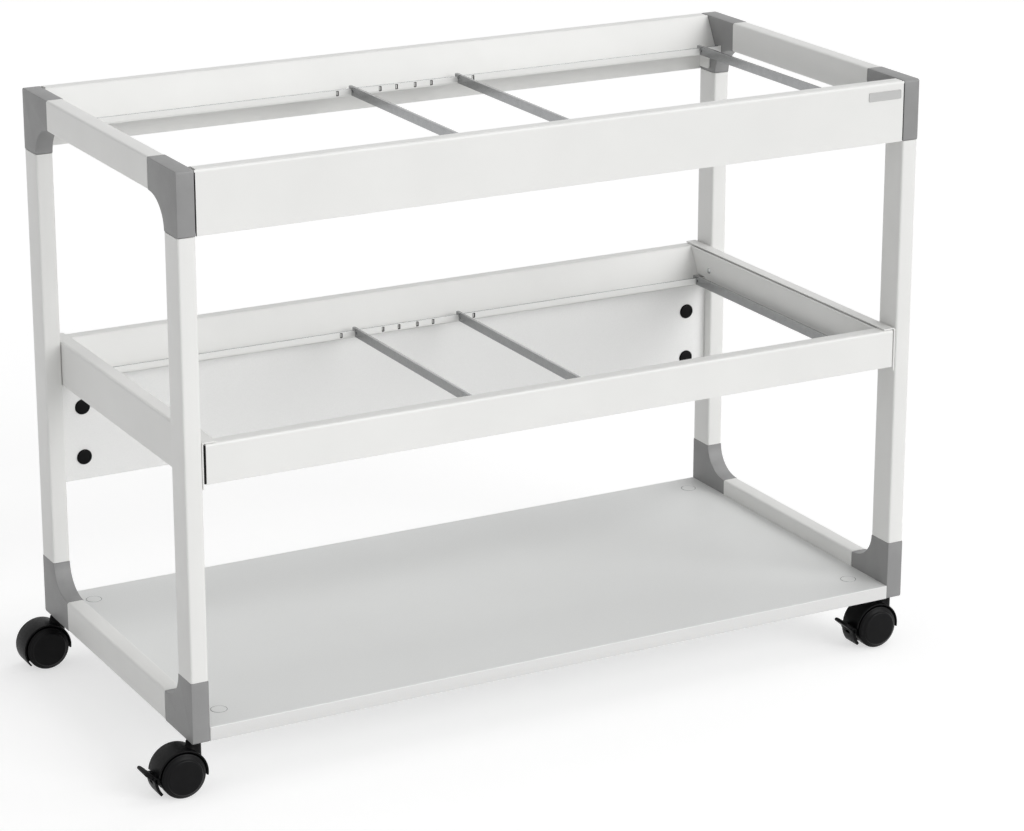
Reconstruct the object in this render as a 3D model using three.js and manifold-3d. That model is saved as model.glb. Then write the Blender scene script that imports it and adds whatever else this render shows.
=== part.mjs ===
// A mobile two-level suspension-file trolley: two tubular end frames with moulded corner connectors,
// a pair of folded file rails at the top, a folded file frame half-way up, lift-out cross bars, a rear
// stabilising board, a bottom shelf and four twin-wheel castors, the front two with brakes.
// Millimetres. X runs along the trolley, the front faces -Y and Z is up from the floor.

import * as THREE from 'three';
import { mergeVertices } from 'three/addons/utils/BufferGeometryUtils.js';
import Module from 'manifold-3d';

// Overall
const FRAME_LENGTH = 896;          // outside of one end frame to outside of the other
const FRAME_DEPTH = 434;           // front of the legs to back of the legs
const FRAME_HEIGHT = 618;          // underside of the lower connectors to the frame's top
const FIT_GAP = 0.3;               // between pieces that seat on each other

// End frames
const TUBE_WIDTH = 20;             // across the end frame, along X
const TUBE_DEPTH = 35;             // in the plane of the end frame
const TUBE_WALL = 1.5;
const TUBE_CORNER = 2.5;
const CORNER_DROP = 69;            // connector's reach along the leg
const CORNER_REACH = 74;           // connector's reach along the cross tube
const CORNER_NOSE = 3;             // rounding of the connector's outer corner
const CORNER_EDGE = 1.2;           // rounding of the connector's edges
const SPIGOT_LENGTH = 28;          // plug inside each tube end

// Folded file rails: outer wall, top flange, inward slope, trough and slotted upstand
const SHEET = 1.5;
const SHEET_BEND = 2;              // bend radius at the middle of the sheet
const TOP_RAIL_HEIGHT = 69;
const MID_RAIL_HEIGHT = 44;
const RAIL_FLANGE = 16;
const RAIL_SLOPE = THREE.MathUtils.degToRad(62);
const RAIL_INSET = 48.5;           // outer face to the middle of the upstand
const TROUGH_DEPTH = 41;           // rail top to the underside of the trough
const UPSTAND_RISE = 9;
const RAIL_END_GAP = 0.5;          // top rail to corner connector
const RAIL_NOTCH = 2;              // flange cut back at each end of a top rail
const END_PLATE_DEPTH = 24;        // bolting plate folded in at the ends of a top rail
const END_PLATE_DROP = 65.5;
const END_PLATE_CORNER = 4;

// Cross bars and the slots they can be hung in
const BAY_WIDTH = 330;             // bar to bar, the hook distance of an A4 suspension file
const BAR_END_INSET = 29.5;        // legs to the end bars
const SPARE_SLOTS = [12, 33, 87.5]; // from the trolley's middle
const SLOT_WIDTH = 3.3;
const SLOT_HEIGHT = 6;
const SLOT_LIP = 1;                // sheet left above a slot
const BAR_THICKNESS = 3;
const BAR_HEIGHT = 10.7;
const BAR_CROWN = 2.4;             // bar above the top of the upstand
const BAR_NOSE = 4.5;              // hook behind the upstand
const BAR_NOSE_DROP = 6;
const BAR_CHAMFER = 1;
const BAR_HOLE = 3.2;
const BAR_HOLE_INSET = 5;

// File frame half-way up
const MID_TOP = 329;               // above the underside of the connectors
const MID_RAIL_END_GAP = 4.3;      // rail end to leg
const COVER_HEIGHT = 51;
const COVER_FLANGE = 15.7;
const COVER_SETBACK = 1;           // cover ends behind the faces of the legs
const END_WALL_SLIT = 1.5;         // cover flange to end wall
const END_WALL_HOLE = 5;
const END_WALL_HOLE_INSET = 60;    // from the outer faces of the legs
const END_WALL_HOLE_DROP = 22;

// Boards
const BOARD = 16;
const BOARD_EDGE = 0.8;
const SHELF_LIFT = 0.5;            // above the underside of the connectors
const REAR_BOARD_HEIGHT = 120;
const REAR_BOARD_SETBACK = 5.7;    // from the back of the legs
const CAP_DIAMETER = 18;
const CAP_DOME = 2;
const CAP_PLUG = 14;
const CAP_PLUG_LENGTH = 10;
const CAP_END_INSET = 27;          // cap to the end of the board
const CAP_LOW = 27;                // lower cap above the board's lower edge
const CAP_SPACING = 60;

// Castors
const WHEEL_DIAMETER = 50;
const WHEEL_WIDTH = 15;
const TREAD_SHARE = 0.72;          // of the wheel's width
const TREAD_EDGE = 1;
const WHEEL_DISC_STEP = 1.2;       // groove between the tread and the domed disc
const WHEEL_DOME = 1.6;
const CASTOR_TRAIL = 20;           // stem axis to wheel axis
const WEB_THICKNESS = 7;
const WEB_GAP = 0.7;               // wheel to web
const AXLE_DIAMETER = 8;
const AXLE_REACH = 13;             // how far the axle enters each wheel
const HOOD_GAP = 1.5;              // tread to hood
const HOOD_WALL = 2;
const HOOD_WIDTH = 30;
const HOOD_FRONT_END = THREE.MathUtils.degToRad(-8);
const HOOD_REAR_END = THREE.MathUtils.degToRad(220);
const HEAD_ROOM = 5.5;             // hood to corner connector
const NECK_RADIUS = 6;
const NECK_FAIRING = 4.5;          // how far the neck runs back along the hood
const STEM_DIAMETER = 8;
const STEM_SEAT = 10.5;            // stem inside the neck
const STEM_ENGAGE = 38;            // stem inside the connector
const STEM_TIP = 1;                // chamfer at the stem's upper end
const STEM_COLLAR = 1.2;
const STEM_COLLAR_DIAMETER = 13;

// Brake levers
const LEVER_WIDTH = 24;
const LEVER_PIVOT_ANGLE = THREE.MathUtils.degToRad(182);
const LEVER_PIN = 3;
const LEVER_PIN_LENGTH = 5.5;
const KNUCKLE_RADIUS = 3.4;        // lever round its pin
const KNUCKLE_GAP = 0.7;           // knuckle to tread
const KNUCKLE_ROOM = 0.9;          // knuckle to the hood's end
const LUG_RADIUS = 3;
const LUG_RELIEF = 2;              // lug to fork
const SHOE_GAP = 3.2;              // brake shoe to tread, released
const SHOE_THICKNESS = 3.3;
const SHOE_END = THREE.MathUtils.degToRad(217);
const SHOE_TIP = 1;                // chamfer at the shoe's lower end
const PEDAL_REACH = 11;
const PEDAL_RISE = 9.5;
const PEDAL_THICKNESS = 4;

// Worked out from the above
const WHEEL_RADIUS = WHEEL_DIAMETER / 2;
const HOOD_INNER = WHEEL_RADIUS + HOOD_GAP;
const HOOD_OUTER = HOOD_INNER + HOOD_WALL;
const CASTOR_HEIGHT = WHEEL_RADIUS + HOOD_OUTER + HEAD_ROOM;
const TOP = CASTOR_HEIGHT + FRAME_HEIGHT;
const MID = CASTOR_HEIGHT + MID_TOP;
const HALF_LENGTH = FRAME_LENGTH / 2;
const HALF_DEPTH = FRAME_DEPTH / 2;
const LEG_X = HALF_LENGTH - TUBE_WIDTH / 2;
const LEG_Y = HALF_DEPTH - TUBE_DEPTH / 2;
const INNER_X = HALF_LENGTH - TUBE_WIDTH;
const END_BAR_X = INNER_X - BAR_END_INSET;
const MIDDLE_BAR_X = END_BAR_X - BAY_WIDTH;
const SIDES = [['left', -1], ['right', 1]];
const FACES = [['front', -1], ['rear', 1]];
const BAR_PLACES = [
  ['left_end', -END_BAR_X],
  ['left_middle', -MIDDLE_BAR_X],
  ['right_middle', MIDDLE_BAR_X],
  ['right_end', END_BAR_X],
];

// Finishes seen in the photograph
const FINISHES = {
  painted: { color: 0xe6e6e4, roughness: 0.45, metalness: 0.0 },
  connector: { color: 0x949494, roughness: 0.5, metalness: 0.0 },
  laminate: { color: 0xd4d5d4, roughness: 0.55, metalness: 0.0 },
  galvanised: { color: 0x9c9e9f, roughness: 0.35, metalness: 0.9 },
  steel: { color: 0xb0b2b4, roughness: 0.3, metalness: 1.0 },
  black: { color: 0x17181a, roughness: 0.5, metalness: 0.0 },
};

const wasm = await Module();
wasm.setup();

// Solids

/** A closed geometry as a solid: shared corners merged, empty faces dropped, faces turned outwards. */
function solid(geometry) {
  const bare = geometry.clone();
  bare.deleteAttribute('normal');
  bare.deleteAttribute('uv');
  const merged = mergeVertices(bare, 1e-4);
  const position = merged.getAttribute('position');
  const corners = [0, 1, 2].map(() => new THREE.Vector3());
  const faces = [];
  let volume = 0;
  for (let i = 0; i < merged.index.count; i += 3) {
    const face = [0, 1, 2].map((k) => merged.index.getX(i + k));
    if (new Set(face).size < 3) continue;
    corners.forEach((corner, k) => corner.fromBufferAttribute(position, face[k]));
    volume += corners[0].dot(corners[1].clone().cross(corners[2]));
    faces.push(face);
  }
  const outward = volume > 0 ? faces : faces.map(([a, b, c]) => [a, c, b]);
  return new wasm.Manifold(new wasm.Mesh({
    numProp: 3,
    vertProperties: new Float32Array(position.array),
    triVerts: new Uint32Array(outward.flat()),
  }));
}

/** A solid as a flat-shaded geometry. */
function geometryOf(body) {
  const { vertProperties, triVerts } = body.getMesh();
  const indexed = new THREE.BufferGeometry();
  indexed.setAttribute('position', new THREE.BufferAttribute(vertProperties, 3));
  indexed.setIndex(new THREE.BufferAttribute(triVerts, 1));
  const geometry = indexed.toNonIndexed();
  geometry.computeVertexNormals();
  return geometry;
}

/** An outline carried along an axis from a start. The outline is in (Y, Z), (X, Z) or (X, Y). */
function prism(shape, axis, start, length, options = {}) {
  const geometry = new THREE.ExtrudeGeometry(shape, {
    depth: length, bevelEnabled: false, curveSegments: 2, ...options,
  });
  const [x, y, z] = [new THREE.Vector3(1, 0, 0), new THREE.Vector3(0, 1, 0), new THREE.Vector3(0, 0, 1)];
  const turn = new THREE.Matrix4();
  if (axis === 'x') turn.makeBasis(y, z, x).setPosition(start, 0, 0);
  if (axis === 'y') turn.makeBasis(x, z, y.negate()).setPosition(0, start + length, 0);
  if (axis === 'z') turn.makeBasis(x, y, z).setPosition(0, 0, start);
  return solid(geometry.applyMatrix4(turn));
}

/** A profile of [radius, height] points turned about Z. */
function turned(profile, segments) {
  const points = profile.map(([radius, height]) => new THREE.Vector2(radius, height));
  return solid(new THREE.LatheGeometry(points, segments).rotateX(Math.PI / 2));
}

/** A block between two corners. */
function block(low, high) {
  const size = high.map((value, i) => value - low[i]);
  const middle = high.map((value, i) => (value + low[i]) / 2);
  return solid(new THREE.BoxGeometry(...size).translate(...middle));
}

/** A round bar along Y. */
function rodAlongY(radius, x, z, from, to, segments = 16) {
  return solid(new THREE.CylinderGeometry(radius, radius, to - from, segments).translate(x, (from + to) / 2, z));
}

function join(...bodies) {
  return bodies.reduce((whole, body) => whole.add(body));
}

function cut(body, ...tools) {
  return tools.reduce((rest, tool) => rest.subtract(tool), body);
}

// Outlines

/** A rectangle with round corners, centred. */
function roundedRectangle(width, height, radius, Kind = THREE.Shape) {
  const x = width / 2 - radius;
  const y = height / 2 - radius;
  const outline = new Kind();
  [[x, y], [-x, y], [-x, -y], [x, -y]].forEach(([cx, cy], quarter) => {
    const start = (quarter * Math.PI) / 2;
    outline.absarc(cx, cy, radius, start, start + Math.PI / 2);
  });
  return outline;
}

/** An open line of points with each corner rounded, as [point, normal] pairs. */
function bentLine(points, radius) {
  const corners = points.map(([x, y]) => new THREE.Vector2(x, y));
  const steps = 2;
  const line = [];
  const normalOf = (along) => new THREE.Vector2(-along.y, along.x);
  corners.forEach((corner, i) => {
    const into = i > 0 ? corner.clone().sub(corners[i - 1]).normalize() : null;
    const out = i < corners.length - 1 ? corners[i + 1].clone().sub(corner).normalize() : null;
    if (!into || !out) {
      line.push([corner, normalOf(into ?? out)]);
      return;
    }
    const turn = Math.atan2(into.cross(out), into.dot(out));
    const centreSide = normalOf(into).multiplyScalar(Math.sign(turn));
    const tangent = radius * Math.tan(Math.abs(turn) / 2);
    const centre = corner.clone().addScaledVector(into, -tangent).addScaledVector(centreSide, radius);
    for (let k = 0; k <= steps; k += 1) {
      const spoke = centreSide.clone().negate().rotateAround(new THREE.Vector2(), (turn * k) / steps);
      line.push([
        centre.clone().addScaledVector(spoke, radius),
        spoke.clone().multiplyScalar(-Math.sign(turn)),
      ]);
    }
  });
  return line;
}

/** The section of a folded sheet whose middle follows a line of points. */
function foldedSection(points) {
  const line = bentLine(points, SHEET_BEND);
  const offset = (side) => line.map(([point, normal]) => point.clone().addScaledVector(normal, (side * SHEET) / 2));
  return new THREE.Shape([...offset(1), ...offset(-1).reverse()]);
}

/** A sector of a ring, or a pie slice when inner is 0, about (x, y). */
function ringSector(x, y, inner, outer, start, end) {
  const outline = new THREE.Shape();
  outline.absarc(x, y, outer, start, end);
  if (inner > 0) outline.absarc(x, y, inner, end, start, true);
  else outline.lineTo(x, y);
  return outline;
}

// End frames

function tube(length) {
  const section = roundedRectangle(TUBE_WIDTH, TUBE_DEPTH, TUBE_CORNER);
  const bore = roundedRectangle(
    TUBE_WIDTH - 2 * TUBE_WALL, TUBE_DEPTH - 2 * TUBE_WALL, TUBE_CORNER - TUBE_WALL, THREE.Path,
  );
  section.holes.push(bore);
  return prism(section, 'z', -length / 2, length, { curveSegments: 1 });
}

/** Points along an arc or a quarter of an ellipse about (x, y). */
function arcPoints(x, y, radiusX, radiusY, start, end, steps) {
  return new THREE.EllipseCurve(x, y, radiusX, radiusY, start, end, end < start).getPoints(steps);
}

/** The top front connector: outer corner at (Y 0, Z 0), one arm back along Y and one down along Z. */
function cornerConnector(withStemBore) {
  const nose = arcPoints(CORNER_NOSE, -CORNER_NOSE, CORNER_NOSE, CORNER_NOSE, Math.PI / 2, Math.PI, 3);
  const fillet = arcPoints(
    CORNER_REACH, -CORNER_DROP, CORNER_REACH - TUBE_DEPTH, CORNER_DROP - TUBE_DEPTH, Math.PI, Math.PI / 2, 8,
  );
  const outline = new THREE.Shape([
    new THREE.Vector2(CORNER_REACH, 0), ...nose, new THREE.Vector2(0, -CORNER_DROP), ...fillet,
  ]);
  const shell = prism(outline, 'x', CORNER_EDGE - TUBE_WIDTH / 2, TUBE_WIDTH - 2 * CORNER_EDGE, {
    bevelEnabled: true, bevelSize: CORNER_EDGE, bevelThickness: CORNER_EDGE, bevelOffset: -CORNER_EDGE,
    bevelSegments: 2,
  });
  const inset = 2 * (TUBE_WALL + FIT_GAP);
  const plug = prism(
    roundedRectangle(TUBE_WIDTH - inset, TUBE_DEPTH - inset, TUBE_CORNER - TUBE_WALL), 'z', 0,
    2 * SPIGOT_LENGTH, { curveSegments: 1 },
  );
  const legPlug = plug.translate([0, TUBE_DEPTH / 2, -CORNER_DROP - SPIGOT_LENGTH]);
  const tubePlug = plug.rotate([-90, 0, 0]).translate([0, CORNER_REACH - SPIGOT_LENGTH, -TUBE_DEPTH / 2]);
  const body = join(shell, legPlug, tubePlug);
  if (!withStemBore) return body;
  const radius = STEM_DIAMETER / 2 + FIT_GAP;
  const bore = turned([[0, 1], [radius, 1], [radius, -STEM_ENGAGE - FIT_GAP], [0, -STEM_ENGAGE - FIT_GAP]], 16);
  return cut(body, bore.translate([0, TUBE_DEPTH / 2, 0]));
}

// File rails

/** Points along the middle of a rail's sheet: [distance in from the outer face, height from the rail's top]. */
function railLine(height) {
  const half = SHEET / 2;
  const floor = half - TROUGH_DEPTH;
  const slopeEnd = RAIL_FLANGE + (-half - floor) / Math.tan(RAIL_SLOPE);
  return [
    [half, -height],
    [half, -half],
    [RAIL_FLANGE, -half],
    [slopeEnd, floor],
    [RAIL_INSET, floor],
    [RAIL_INSET, UPSTAND_RISE - TROUGH_DEPTH],
  ];
}

/** A rail on the front or rear face, with its slots, between two ends along X. */
function fileRail(face, top, height, halfLength) {
  const place = ([inset, rise]) => [face * (HALF_DEPTH - inset), top + rise];
  const sheet = prism(foldedSection(railLine(height).map(place)), 'x', -halfLength, 2 * halfLength);
  const slotTop = top + UPSTAND_RISE - TROUGH_DEPTH - SLOT_LIP;
  const upstand = face * (HALF_DEPTH - RAIL_INSET);
  const places = [...SPARE_SLOTS, MIDDLE_BAR_X, END_BAR_X].flatMap((x) => [-x, x]);
  const slots = places.map((x) => block(
    [x - SLOT_WIDTH / 2, upstand - SHEET, slotTop - SLOT_HEIGHT],
    [x + SLOT_WIDTH / 2, upstand + SHEET, slotTop],
  ));
  return cut(sheet, ...slots);
}

/** A top rail also has a bolting plate at each end, and its flange is notched beside the connectors. */
function topRail(face) {
  const halfLength = INNER_X - RAIL_END_GAP;
  const half = SHEET / 2;
  const slopeInset = END_PLATE_DEPTH - RAIL_FLANGE;
  const outline = new THREE.Shape();
  const at = (inset, drop) => [face * (HALF_DEPTH - inset), TOP - drop];
  outline.moveTo(...at(half, half));
  outline.lineTo(...at(half, END_PLATE_DROP));
  outline.lineTo(...at(END_PLATE_DEPTH - END_PLATE_CORNER, END_PLATE_DROP));
  outline.quadraticCurveTo(
    ...at(END_PLATE_DEPTH, END_PLATE_DROP), ...at(END_PLATE_DEPTH, END_PLATE_DROP - END_PLATE_CORNER),
  );
  outline.lineTo(...at(END_PLATE_DEPTH, half + slopeInset * Math.tan(RAIL_SLOPE)));
  outline.lineTo(...at(RAIL_FLANGE, half));
  const plates = [-halfLength, halfLength - SHEET].map((x) => prism(outline, 'x', x, SHEET));
  const notches = [-1, 1].map((end) => {
    const ys = [SHEET, RAIL_FLANGE].map((inset) => face * (HALF_DEPTH - inset)).sort((a, b) => a - b);
    const xs = [end * (halfLength - RAIL_NOTCH), end * (halfLength + 1)].sort((a, b) => a - b);
    return block([xs[0], ys[0], TOP - 2 * SHEET], [xs[1], ys[1], TOP + 1]);
  });
  return cut(join(fileRail(face, TOP, TOP_RAIL_HEIGHT, halfLength), ...plates), ...notches);
}

/** A strip on edge across both rails, notched over the upstands, with a hook nose behind each. */
function crossBar(railTop) {
  const upstandTop = railTop + UPSTAND_RISE - TROUGH_DEPTH;
  const top = upstandTop + FIT_GAP + BAR_CROWN;
  const reach = HALF_DEPTH - RAIL_INSET;
  const noseEnd = reach + SHEET / 2 + FIT_GAP + BAR_NOSE;
  const outline = new THREE.Shape();
  outline.moveTo(-noseEnd, top - BAR_NOSE_DROP);
  outline.lineTo(-noseEnd, top - BAR_CHAMFER);
  outline.lineTo(BAR_CHAMFER - noseEnd, top);
  outline.lineTo(noseEnd - BAR_CHAMFER, top);
  outline.lineTo(noseEnd, top - BAR_CHAMFER);
  outline.lineTo(noseEnd, top - BAR_NOSE_DROP);
  [[1, BAR_NOSE_DROP, BAR_HEIGHT], [-1, BAR_HEIGHT, BAR_NOSE_DROP]].forEach(([side, dropIn, dropOut]) => {
    const walls = [reach + SHEET / 2 + FIT_GAP, reach - SHEET / 2 - FIT_GAP];
    const [near, far] = side > 0 ? walls : walls.slice().reverse();
    outline.lineTo(side * near, top - dropIn);
    outline.lineTo(side * near, upstandTop + FIT_GAP);
    outline.lineTo(side * far, upstandTop + FIT_GAP);
    outline.lineTo(side * far, top - dropOut);
  });
  [-1, 1].forEach((side) => {
    const hole = new THREE.Path();
    hole.absarc(side * (reach - BAR_HOLE_INSET), top - BAR_HEIGHT / 2, BAR_HOLE / 2, 0, 2 * Math.PI);
    outline.holes.push(hole);
  });
  return prism(outline, 'x', -BAR_THICKNESS / 2, BAR_THICKNESS, { curveSegments: 4 });
}

// File frame half-way up

/** The folded cover beside the legs of one end: outer wall and top flange, over the rails' flanges. */
function endCover(side) {
  const half = SHEET / 2;
  const top = MID + FIT_GAP + half;
  const line = [
    [INNER_X - FIT_GAP - half, top + half - COVER_HEIGHT],
    [INNER_X - FIT_GAP - half, top],
    [INNER_X - COVER_FLANGE, top],
  ].map(([x, z]) => [side * x, z]);
  const halfLength = HALF_DEPTH - COVER_SETBACK;
  return prism(foldedSection(line), 'y', -halfLength, 2 * halfLength);
}

/** The plate inside one end of the file frame: between the slopes above, between the upstands below. */
function endWall(side) {
  const half = SHEET / 2;
  const clear = half + FIT_GAP;
  const upstandTop = MID + UPSTAND_RISE - TROUGH_DEPTH;
  const slopeClear = clear / Math.sin(RAIL_SLOPE);
  const slopeY = (drop) => HALF_DEPTH - RAIL_FLANGE - (drop - half) / Math.tan(RAIL_SLOPE) - slopeClear;
  const ledge = upstandTop + FIT_GAP;
  const corners = [
    [slopeY(0), MID],
    [slopeY(MID - ledge), ledge],
    [HALF_DEPTH - RAIL_INSET - clear, ledge],
    [HALF_DEPTH - RAIL_INSET - clear, MID - MID_RAIL_HEIGHT],
  ];
  const mirrored = corners.map(([y, z]) => [-y, z]).reverse();
  const outline = new THREE.Shape([...corners, ...mirrored].map(([y, z]) => new THREE.Vector2(y, z)));
  [-1, 1].forEach((end) => {
    const hole = new THREE.Path();
    hole.absarc(
      end * (HALF_DEPTH - END_WALL_HOLE_INSET), MID - END_WALL_HOLE_DROP, END_WALL_HOLE / 2, 0, 2 * Math.PI,
    );
    outline.holes.push(hole);
  });
  const outer = INNER_X - COVER_FLANGE - END_WALL_SLIT;
  const start = side > 0 ? outer - SHEET : -outer;
  return prism(outline, 'x', start, SHEET, { curveSegments: 4 });
}

// Boards

function board(width, depth) {
  return new THREE.Shape(
    roundedRectangle(width, depth, BOARD_EDGE).getPoints(1),
  );
}

function shelf() {
  const halfLength = INNER_X - FIT_GAP;
  const outline = board(FRAME_DEPTH, BOARD);
  const lift = CASTOR_HEIGHT + SHELF_LIFT + BOARD / 2;
  return prism(outline, 'x', -halfLength, 2 * halfLength).translate([0, 0, lift]);
}

const COVER_DROP = COVER_HEIGHT - SHEET - FIT_GAP;
const REAR_BOARD_TOP = MID - Math.max(MID_RAIL_HEIGHT, COVER_DROP) - FIT_GAP;
const REAR_BOARD_FRONT = HALF_DEPTH - REAR_BOARD_SETBACK - BOARD;
const CAP_PLACES = SIDES.flatMap(([end, side]) => [['lower', 0], ['upper', 1]].map(([level, row]) => [
  `${end}_${level}`,
  side * (INNER_X - FIT_GAP - CAP_END_INSET),
  REAR_BOARD_TOP - REAR_BOARD_HEIGHT + CAP_LOW + row * CAP_SPACING,
]));

/** The board under the rear rail, with the sockets of its fittings open to the front. */
function rearBoard() {
  const halfLength = INNER_X - FIT_GAP;
  const outline = board(BOARD, REAR_BOARD_HEIGHT);
  const plank = prism(outline, 'x', -halfLength, 2 * halfLength)
    .translate([0, REAR_BOARD_FRONT + BOARD / 2, REAR_BOARD_TOP - REAR_BOARD_HEIGHT / 2]);
  const depth = CAP_PLUG_LENGTH + FIT_GAP;
  const sockets = CAP_PLACES.map(([, x, z]) => rodAlongY(
    CAP_PLUG / 2 + FIT_GAP, x, z, REAR_BOARD_FRONT - 1, REAR_BOARD_FRONT + depth,
  ));
  return cut(plank, ...sockets);
}

/** A domed cover cap with its plug, facing the front. */
function coverCap() {
  const rim = CAP_DIAMETER / 2;
  const dome = [[0, CAP_DOME], [rim * 0.55, CAP_DOME * 0.85], [rim * 0.9, CAP_DOME * 0.45], [rim, 0]];
  const plug = [[CAP_PLUG / 2, 0], [CAP_PLUG / 2, -CAP_PLUG_LENGTH], [0, -CAP_PLUG_LENGTH]];
  return turned([...dome, ...plug], 16).rotate([90, 0, 0]);
}

// Castors, each about its stem axis, with the floor at Z 0

const AXLE_X = -CASTOR_TRAIL;
const AXLE_Z = WHEEL_RADIUS;
const NECK_TOP = CASTOR_HEIGHT - STEM_COLLAR - 2 * FIT_GAP;
const WHEEL_INNER = WEB_THICKNESS / 2 + WEB_GAP;
const LEVER_PIVOT_RADIUS = WHEEL_RADIUS + KNUCKLE_GAP + KNUCKLE_RADIUS;
const HOOD_BRAKE_END = LEVER_PIVOT_ANGLE - (KNUCKLE_RADIUS + KNUCKLE_ROOM) / LEVER_PIVOT_RADIUS;
const WEB_BRAKE_END = LEVER_PIVOT_ANGLE + LUG_RADIUS / LEVER_PIVOT_RADIUS;
const onWheel = (radius, angle) => [AXLE_X + radius * Math.cos(angle), AXLE_Z + radius * Math.sin(angle)];
const LEVER_PIVOT = onWheel(LEVER_PIVOT_RADIUS, LEVER_PIVOT_ANGLE);

function castorStem() {
  const radius = STEM_DIAMETER / 2;
  const collar = STEM_COLLAR_DIAMETER / 2;
  const top = CASTOR_HEIGHT + STEM_ENGAGE;
  const collarTop = CASTOR_HEIGHT - FIT_GAP;
  return turned([
    [0, NECK_TOP - STEM_SEAT], [radius, NECK_TOP - STEM_SEAT],
    [radius, collarTop - STEM_COLLAR], [collar, collarTop - STEM_COLLAR], [collar, collarTop], [radius, collarTop],
    [radius, top - STEM_TIP], [radius - STEM_TIP, top], [0, top],
  ], 16);
}

/** The moulded body: a hood over both wheels, a web between them and a neck for the stem. */
function castorHousing(braked) {
  const [hoodEnd, webEnd] = braked ? [HOOD_BRAKE_END, WEB_BRAKE_END] : [HOOD_REAR_END, HOOD_REAR_END];
  const hood = prism(
    ringSector(AXLE_X, AXLE_Z, HOOD_INNER, HOOD_OUTER, HOOD_FRONT_END, hoodEnd), 'y',
    -HOOD_WIDTH / 2, HOOD_WIDTH, { curveSegments: 9 },
  );
  const half = WEB_THICKNESS / 2;
  const web = prism(
    ringSector(AXLE_X, AXLE_Z, 0, HOOD_INNER + HOOD_WALL / 2, HOOD_FRONT_END, webEnd), 'y', -half, WEB_THICKNESS,
    { curveSegments: 7 },
  );
  const hub = rodAlongY(AXLE_DIAMETER, AXLE_X, AXLE_Z, -half, half);
  const plan = new THREE.Shape();
  plan.absarc(0, 0, NECK_RADIUS, -Math.PI / 2, Math.PI / 2);
  plan.absarc(-NECK_FAIRING, 0, NECK_RADIUS, Math.PI / 2, 1.5 * Math.PI);
  const well = rodAlongY(HOOD_INNER + HOOD_WALL / 2, AXLE_X, AXLE_Z, -HOOD_WIDTH / 2, HOOD_WIDTH / 2, 32);
  const neck = cut(prism(plan, 'z', AXLE_Z, NECK_TOP - AXLE_Z, { curveSegments: 4 }), well);
  const radius = STEM_DIAMETER / 2 + FIT_GAP;
  const floor = NECK_TOP - STEM_SEAT - FIT_GAP;
  const stemBore = turned([[0, floor], [radius, floor], [radius, NECK_TOP + 1], [0, NECK_TOP + 1]], 16);
  const axleBore = rodAlongY(AXLE_DIAMETER / 2 + FIT_GAP, AXLE_X, AXLE_Z, -half - 1, half + 1);
  const lug = braked ? [brakeLug()] : [];
  return cut(join(hood, web, hub, neck, ...lug), stemBore, axleBore);
}

/** The round lug at the web's end, with a stub pin on each side for the brake lever. */
function brakeLug() {
  const half = WEB_THICKNESS / 2;
  const reach = half + LEVER_PIN_LENGTH;
  return join(
    rodAlongY(LUG_RADIUS, ...LEVER_PIVOT, -half, half),
    rodAlongY(LEVER_PIN / 2, ...LEVER_PIVOT, -reach, reach, 12),
  );
}

/** One wheel: tread, a groove, and a domed disc that closes the outer side over the axle's end. */
function wheel() {
  const tread = WHEEL_WIDTH * TREAD_SHARE;
  const disc = WHEEL_RADIUS - WHEEL_DISC_STEP;
  const face = WHEEL_INNER + WHEEL_WIDTH;
  const bore = AXLE_DIAMETER / 2 + FIT_GAP;
  const boreEnd = WHEEL_INNER + AXLE_REACH + FIT_GAP;
  const profile = [
    [0, face + WHEEL_DOME], [disc * 0.6, face + WHEEL_DOME * 0.7], [disc * 0.9, face],
    [disc, face - WHEEL_DOME], [disc, WHEEL_INNER + tread + WHEEL_DISC_STEP], [WHEEL_RADIUS, WHEEL_INNER + tread],
    [WHEEL_RADIUS, WHEEL_INNER + TREAD_EDGE], [WHEEL_RADIUS - TREAD_EDGE, WHEEL_INNER],
    [bore, WHEEL_INNER], [bore, boreEnd], [0, boreEnd],
  ];
  return turned(profile, 24).rotate([-90, 0, 0]);
}

function axle() {
  const reach = WHEEL_INNER + AXLE_REACH;
  return rodAlongY(AXLE_DIAMETER / 2, 0, 0, -reach, reach, 16);
}

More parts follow.
